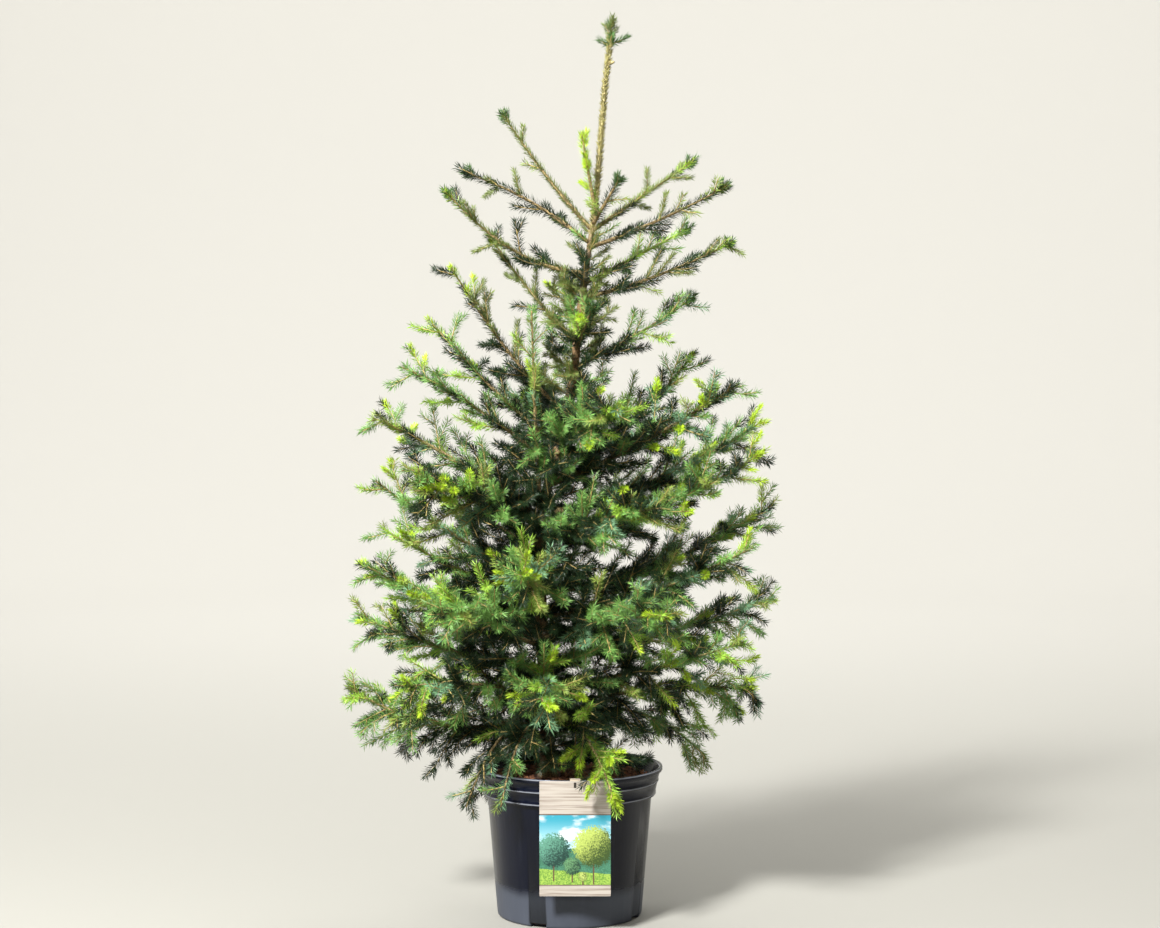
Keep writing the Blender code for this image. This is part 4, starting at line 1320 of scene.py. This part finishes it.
def turned_body(name, profile, steps):
    mesh = bpy.data.meshes.new(name)
    edges = [(i, i + 1) for i in range(len(profile) - 1)]
    mesh.from_pydata([(radius, 0.0, height) for radius, height in profile], edges, [])
    item = placed(name, mesh)
    screw = item.modifiers.new("turn", "SCREW")
    screw.axis = "Z"
    screw.steps = steps
    screw.render_steps = steps
    screw.use_merge_vertices = True
    screw.merge_threshold = 0.00001
    return settled(item)


# %% The pot and its drain notches
NOTCH_SIZE = (0.024, 0.024, 0.012)
pot = turned_body("nursery_pot", pot_profile, 128)
cutters = bpy.data.collections.new("cutters")
bpy.context.scene.collection.children.link(cutters)
for k in range(4):
    turn = math.radians(-115.0 + 90.0 * k)
    work = bmesh.new()
    bmesh.ops.create_cube(work, size=1.0)
    bmesh.ops.scale(work, vec=NOTCH_SIZE, verts=work.verts)
    mesh = bpy.data.meshes.new("notch")
    work.to_mesh(mesh)
    work.free()
    cutter = bpy.data.objects.new(f"notch_{k}", mesh)
    cutters.objects.link(cutter)
    centre = Vector((math.cos(turn), math.sin(turn), 0.0)) * BASE_RADIUS
    cutter.matrix_world = Matrix.Translation(centre) @ Matrix.Rotation(turn, 4, "Z")
cut = pot.modifiers.new("notches", "BOOLEAN")
cut.operation = "DIFFERENCE"
cut.solver = "EXACT"
cut.operand_type = "COLLECTION"
cut.collection = cutters
settled(pot)
for cutter in list(cutters.objects):
    bpy.data.objects.remove(cutter)
bpy.data.collections.remove(cutters)
print("pot", len(pot.data.polygons), "faces")

# %% [markdown]
# The plastic is black with a trace of blue and a satin shine. Drawn out of the
# mould it keeps faint upright streaks in its shine and relief; in its colour the
# streaks are painted lighter as soft upright reflections. The foot is painted grey
# as a reflection of the pale floor and as dusty plastic, and it is duller. Thin
# light lines along the band's edges and the top of the lip are painted highlights.

# %% Black plastic
plastic = Finish("black_plastic", 0.30, Specular_IOR_Level=0.24)
streaks = plastic.noise(42.0, 3.0, plastic.scaled((1.0, 1.0, 0.05)))
# Noise that waves the edge of the grey foot, a painted floor reflection and dusty plastic.
foot_edge_noise = plastic.noise(22.0, 4.0)
_, _, height = plastic.axes()
# The foot below about 4 to 6 cm is painted grey: a reflection of the pale floor, and dusty.
foot = 1.0 - (height + (foot_edge_noise - 0.5) * 0.012).ramp(0.036, 0.056)
# Thin light lines at the band's two edges and the top of the lip: painted highlights.
painted_edge_highlights = 0.0
for edge_height in (BAND_FOOT + 0.0204, BAND_FOOT + 0.0031, TOP - 0.0012):
    painted_edge_highlights = 1.0 - abs(height - edge_height).ramp(0.0005, 0.0012) + painted_edge_highlights
# Painted reflections in the colour: the grey foot, partly dusty too, and lighter upright streaks.
painted_reflections_and_dust = foot * 0.75 + streaks.ramp(0.50, 0.80) * 0.16
black = plastic.mix(painted_reflections_and_dust, (0.0022, 0.0034, 0.0100, 1.0), (0.076, 0.086, 0.110, 1.0))
plastic.colour(plastic.mix(painted_edge_highlights * 0.8, black, (0.200, 0.210, 0.235, 1.0)))
plastic.rough(0.08 + streaks * 0.28 + foot * 0.25)
plastic.bump(streaks + plastic.noise(900.0, 2.0) * 0.05, 0.35, 0.0025)
dress(pot, plastic, True)

# %% [markdown]
# ## The mulch
# Coarse chipped bark lies loose on the soil. The chips could be laid by hand for
# one close view, but a scatter over the soil's surface fills it evenly from every
# side: points no closer than a few millimetres, each with a slab turned at random.

# %% Soil
SOIL_EDGE = 0.1175
soil_profile = [
    (0.0, SOIL_TOP),
    (0.060, SOIL_TOP),
    (0.106, SOIL_TOP - 0.001),
    (SOIL_EDGE, SOIL_TOP - 0.003),
    (SOIL_EDGE - 0.001, 0.175),
    (0.1120, 0.170),
    (0.0960, 0.0042),
    (0.0, 0.0040),
]
soil = turned_body("soil_body", soil_profile, 96)
earth = Finish("dark_soil", 0.95)
crumbs = earth.noise(260.0, 5.0)
earth.colour(earth.mix(crumbs.ramp(0.3, 0.7), (0.024, 0.011, 0.007, 1.0), (0.14, 0.055, 0.028, 1.0)))
earth.bump(crumbs, 0.8, 0.002)
dress(soil, earth, True)
print("soil", len(soil.data.polygons), "faces")

# %% The recipe for chips
CHIP_BED = 0.113
TRUNK_CLEAR = 0.0185
scatter = Recipe("chips_on_soil")
bed = scatter.given("Bed", "Object")
chip = scatter.given("Chip", "Object")
distance = scatter.given("Distance")
chip_seed = scatter.given("Seed", "Int")
chip_finish = scatter.given("Finish", "Material")
ground = scatter.add("GeometryNodeObjectInfo", values={"Object": bed}, output="Geometry")
spots = scatter.add(
    "GeometryNodeDistributePointsOnFaces",
    {"distribute_method": "POISSON"},
    {"Mesh": ground, "Distance Min": distance, "Density Max": 90000.0, "Seed": chip_seed},
)
place = scatter.add("GeometryNodeInputPosition")
foot, _ = trunk_at(SOIL_TOP)
away = scatter.add(
    "ShaderNodeVectorMath",
    {"operation": "DISTANCE"},
    {0: place, 1: (foot.x, foot.y, SOIL_TOP)},
    "Value",
)
angles = scatter.add(
    "FunctionNodeRandomValue",
    {"data_type": "FLOAT_VECTOR"},
    {0: (-0.35, -0.30, 0.0), 1: (0.35, 0.30, math.tau), 8: chip_seed + 1},
)
chip_size = scatter.add(
    "FunctionNodeRandomValue",
    {"data_type": "FLOAT_VECTOR"},
    {0: (0.0050, 0.0024, 0.0010), 1: (0.0130, 0.0055, 0.0022), 8: chip_seed + 2},
)
slab = scatter.add("GeometryNodeObjectInfo", values={"Object": chip}, output="Geometry")
laid = scatter.add(
    "GeometryNodeInstanceOnPoints",
    values={
        "Points": spots,
        "Selection": away > TRUNK_CLEAR,
        "Instance": slab,
        "Rotation": angles,
        "Scale": chip_size,
    },
)
scatter.finish(laid, chip_finish)

# %% Scatter the chips
chip_corners = (
    (-0.5, -0.3, -0.5), (0.35, -0.5, -0.5), (0.5, 0.25, -0.5), (-0.25, 0.5, -0.5),
    (-0.4, -0.2, 0.5), (0.3, -0.4, 0.5), (0.4, 0.15, 0.5), (-0.2, 0.35, 0.5),
)
chip_faces = (
    (3, 2, 1, 0), (4, 5, 6, 7), (0, 1, 5, 4), (1, 2, 6, 5), (2, 3, 7, 6), (3, 0, 4, 7),
)
slab_object = placed("chip_slab", mesh_from("chip_slab", chip_corners, chip_faces))
work = bmesh.new()
bmesh.ops.create_circle(work, cap_ends=True, radius=CHIP_BED, segments=48)
bmesh.ops.translate(work, vec=(0.0, 0.0, SOIL_TOP + 0.0008), verts=work.verts)
bed_mesh = bpy.data.meshes.new("chip_bed")
work.to_mesh(bed_mesh)
work.free()
bed_object = placed("chip_bed", bed_mesh)
mulch = Finish("bark_chips", 0.9)
streak = mulch.noise(120.0, 3.0)
mulch.colour(mulch.mix(streak.ramp(0.3, 0.7), (0.085, 0.028, 0.014, 1.0), (0.36, 0.15, 0.065, 1.0)))
mulch.bump(mulch.noise(700.0, 3.0), 0.5, 0.0006)
chips = made(
    "bark_chips",
    scatter,
    Bed=bed_object,
    Chip=slab_object,
    Distance=0.0052,
    Seed=5,
    Finish=mulch.material,
)
bpy.data.objects.remove(bed_object)
bpy.data.objects.remove(slab_object)

# %% [markdown]
# ## The label
# A thin printed card hangs from the rim by a strap. Its picture is painted by the
# material: wood grain above and below, and between them a sky with clouds, three
# lines of hills, a meadow and a few round trees. An image could do it as well, but
# sums of simple shapes stay sharp at any size.

# %% The card
CARD_TOP = POT_HEIGHT - 0.0005
CARD_FRONT = -(RIM_RADIUS + FIT + LABEL_THICKNESS)
CARD_CORNER = 0.0012


def card_mesh():
    half = LABEL_WIDTH / 2 - CARD_CORNER
    top = CARD_TOP - CARD_CORNER
    foot = CARD_TOP - LABEL_HEIGHT + CARD_CORNER
    outline = []
    for x, z, start in ((half, top, 0), (-half, top, 90), (-half, foot, 180), (half, foot, 270)):
        for k in range(5):
            turn = math.radians(start + 22.5 * k)
            corner = (x + CARD_CORNER * math.cos(turn), z + CARD_CORNER * math.sin(turn))
            outline.append(corner)
    work = bmesh.new()
    back = CARD_FRONT + LABEL_THICKNESS
    front_row = [work.verts.new((x + LABEL_OFFSET, CARD_FRONT, z)) for x, z in outline]
    back_row = [work.verts.new((x + LABEL_OFFSET, back, z)) for x, z in outline]
    work.faces.new(front_row)
    work.faces.new(list(reversed(back_row)))
    for k in range(len(outline)):
        n = (k + 1) % len(outline)
        work.faces.new((front_row[k], back_row[k], back_row[n], front_row[n]))
    bmesh.ops.recalc_face_normals(work, faces=work.faces)
    mesh = bpy.data.meshes.new("label_card")
    work.to_mesh(mesh)
    work.free()
    return mesh


card = placed("label_card", card_mesh())
print("card", len(card.data.polygons), "faces")

# %% Sky, hills and meadow
printed = Finish("printed_card", 0.35)
x, _, z = printed.axes()
down = (CARD_TOP - z) / LABEL_HEIGHT
across = (x - (LABEL_OFFSET - LABEL_WIDTH / 2)) / LABEL_WIDTH
ripple = printed.noise(60.0, 3.0)
leaves = printed.noise(520.0, 5.0)
haze = down.ramp(0.30, 0.62)
picture = printed.mix(haze, (0.024, 0.270, 0.360, 1.0), (0.38, 0.60, 0.64, 1.0))
cloud = printed.noise(26.0, 5.0, printed.scaled((1.0, 1.0, 2.4)))
picture = printed.mix(cloud.ramp(0.52, 0.66), picture, (0.60, 0.65, 0.66, 1.0))
for level, slope, swell, near, far in (
    (0.56, 0.06, 0.05, (0.16, 0.36, 0.40, 1.0), (0.10, 0.26, 0.28, 1.0)),
    (0.63, -0.08, 0.06, (0.06, 0.20, 0.12, 1.0), (0.03, 0.12, 0.07, 1.0)),
    (0.76, 0.05, 0.03, (0.30, 0.44, 0.07, 1.0), (0.10, 0.22, 0.03, 1.0)),
):
    ridge = down - across * slope + (ripple - 0.5) * swell
    ground_colour = printed.mix(leaves.ramp(0.35, 0.65), near, far)
    picture = printed.mix(ridge > level, picture, ground_colour)

# %% Round trees and the wood grain
TREES = (
    (0.20, 0.60, 0.230, (0.006, 0.034, 0.026, 1.0), (0.10, 0.27, 0.19, 1.0)),
    (0.76, 0.57, 0.280, (0.030, 0.060, 0.010, 1.0), (0.38, 0.47, 0.10, 1.0)),
    (0.46, 0.74, 0.120, (0.006, 0.032, 0.018, 1.0), (0.12, 0.27, 0.12, 1.0)),
    (0.61, 0.83, 0.065, (0.060, 0.110, 0.015, 1.0), (0.52, 0.60, 0.16, 1.0)),
)
CARD_SHAPE = LABEL_HEIGHT / LABEL_WIDTH
for middle, level, size, shade, light in TREES:
    side = across - middle
    rise = (down - level) * CARD_SHAPE
    stem = (abs(side) < 0.010) * (rise > 0.0) * (rise < size * 1.9)
    picture = printed.mix(stem, picture, (0.10, 0.05, 0.03, 1.0))
    far = side * side + rise * rise + (leaves - 0.5) * (size * size * 2.4)
    lit = (leaves * 1.6 - (side + rise) * 1.4).ramp(0.45, 1.25)
    crown_colour = printed.mix(lit, shade, light)
    picture = printed.mix(far < size * size, picture, crown_colour)
grain = printed.noise(20.0, 7.0, printed.scaled((0.8, 1.0, 22.0)))
wood = printed.mix(grain.ramp(0.30, 0.62), (0.24, 0.195, 0.160, 1.0), (0.43, 0.385, 0.335, 1.0))
band = (down < 0.29) + (down > 0.905)
edge = (down > 0.286) * (down < 0.296) + (down > 0.900) * (down < 0.907)
slot = (abs(across - 0.50) < 0.018) * (down > 0.012) * (down < 0.060)
picture = printed.mix(band, picture, wood)
picture = printed.mix(edge, picture, (0.10, 0.07, 0.05, 1.0))
printed.colour(printed.mix(slot, picture, (0.02, 0.015, 0.012, 1.0)))
printed.rough(0.30 + grain * 0.12)
dress(card, printed)

# %% The strap
STRAP_WIDTH = 0.014
STRAP_DROP = 0.009
strap_back = -(LIP - WALL - 0.0055)
strap_front = -(LIP - WALL - 0.0045)
card_back = CARD_FRONT + LABEL_THICKNESS
strap_outline = (
    (CARD_FRONT, TOP + FIT + LABEL_THICKNESS),
    (strap_back, TOP + FIT + LABEL_THICKNESS),
    (strap_back, TOP - STRAP_DROP),
    (strap_front, TOP - STRAP_DROP),
    (strap_front, TOP + FIT),
    (card_back, TOP + FIT),
    (card_back, CARD_TOP + 0.0001),
    (CARD_FRONT, CARD_TOP + 0.0001),
)
work = bmesh.new()
left = [work.verts.new((LABEL_OFFSET - STRAP_WIDTH / 2, y, z)) for y, z in strap_outline]
right = [work.verts.new((LABEL_OFFSET + STRAP_WIDTH / 2, y, z)) for y, z in strap_outline]
for k in range(len(left)):
    n = (k + 1) % len(left)
    work.faces.new((left[k], left[n], right[n], right[k]))
work.faces.new(left)
work.faces.new(list(reversed(right)))
bmesh.ops.recalc_face_normals(work, faces=work.faces)
strap_mesh = bpy.data.meshes.new("label_strap")
work.to_mesh(strap_mesh)
work.free()
strap = placed("label_strap", strap_mesh)
strap_finish = Finish("strap_plastic", 0.5)
cloudy = strap_finish.noise(60.0)
strap_finish.colour(strap_finish.mix(cloudy, (0.46, 0.37, 0.28, 1.0), (0.62, 0.52, 0.42, 1.0)))
dress(strap, strap_finish)

# %% [markdown]
# ## Ties
# Each visible piece is listed with the solids it stands for, which are hidden, and
# a slot name. The whole tree is one rigid body, so everything rides on its root.

# %% Hang the pieces on the root and hide their solids
foliage_nodes = [limb.name + "_foliage" for limb in LIMBS] + ["top_foliage"]
bough_nodes = [limb.name + "_bough" for limb in LIMBS if limb.bare > 0.0]
ties = [(piece, slot, foliage_nodes) for piece, slot in needle_pieces]
ties += [
    (twig_piece, "bark", foliage_nodes),
    (trunk, "bark", ["trunk"]),
    (boughs, "bark", bough_nodes),
    (pot, "black_plastic", ["pot"]),
    (soil, "bark_mulch", ["soil"]),
    (chips, "bark_mulch", ["soil"]),
    (card, "label_card", ["label"]),
    (strap, "label_card", ["label"]),
]
for piece, slot, nodes in ties:
    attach(piece, "root")
    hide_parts(*nodes)
print(len(ties), "pieces tied")

# %% [markdown]
# ## The corners of the pieces
# Last, the corners of every visible piece are read into an array.

# %% Read the corners of the pieces
for piece, _, _ in ties:
    spots = np.empty(len(piece.data.vertices) * 3, np.float32)
    piece.data.vertices.foreach_get("co", spots)
    spots = spots.reshape(-1, 3)
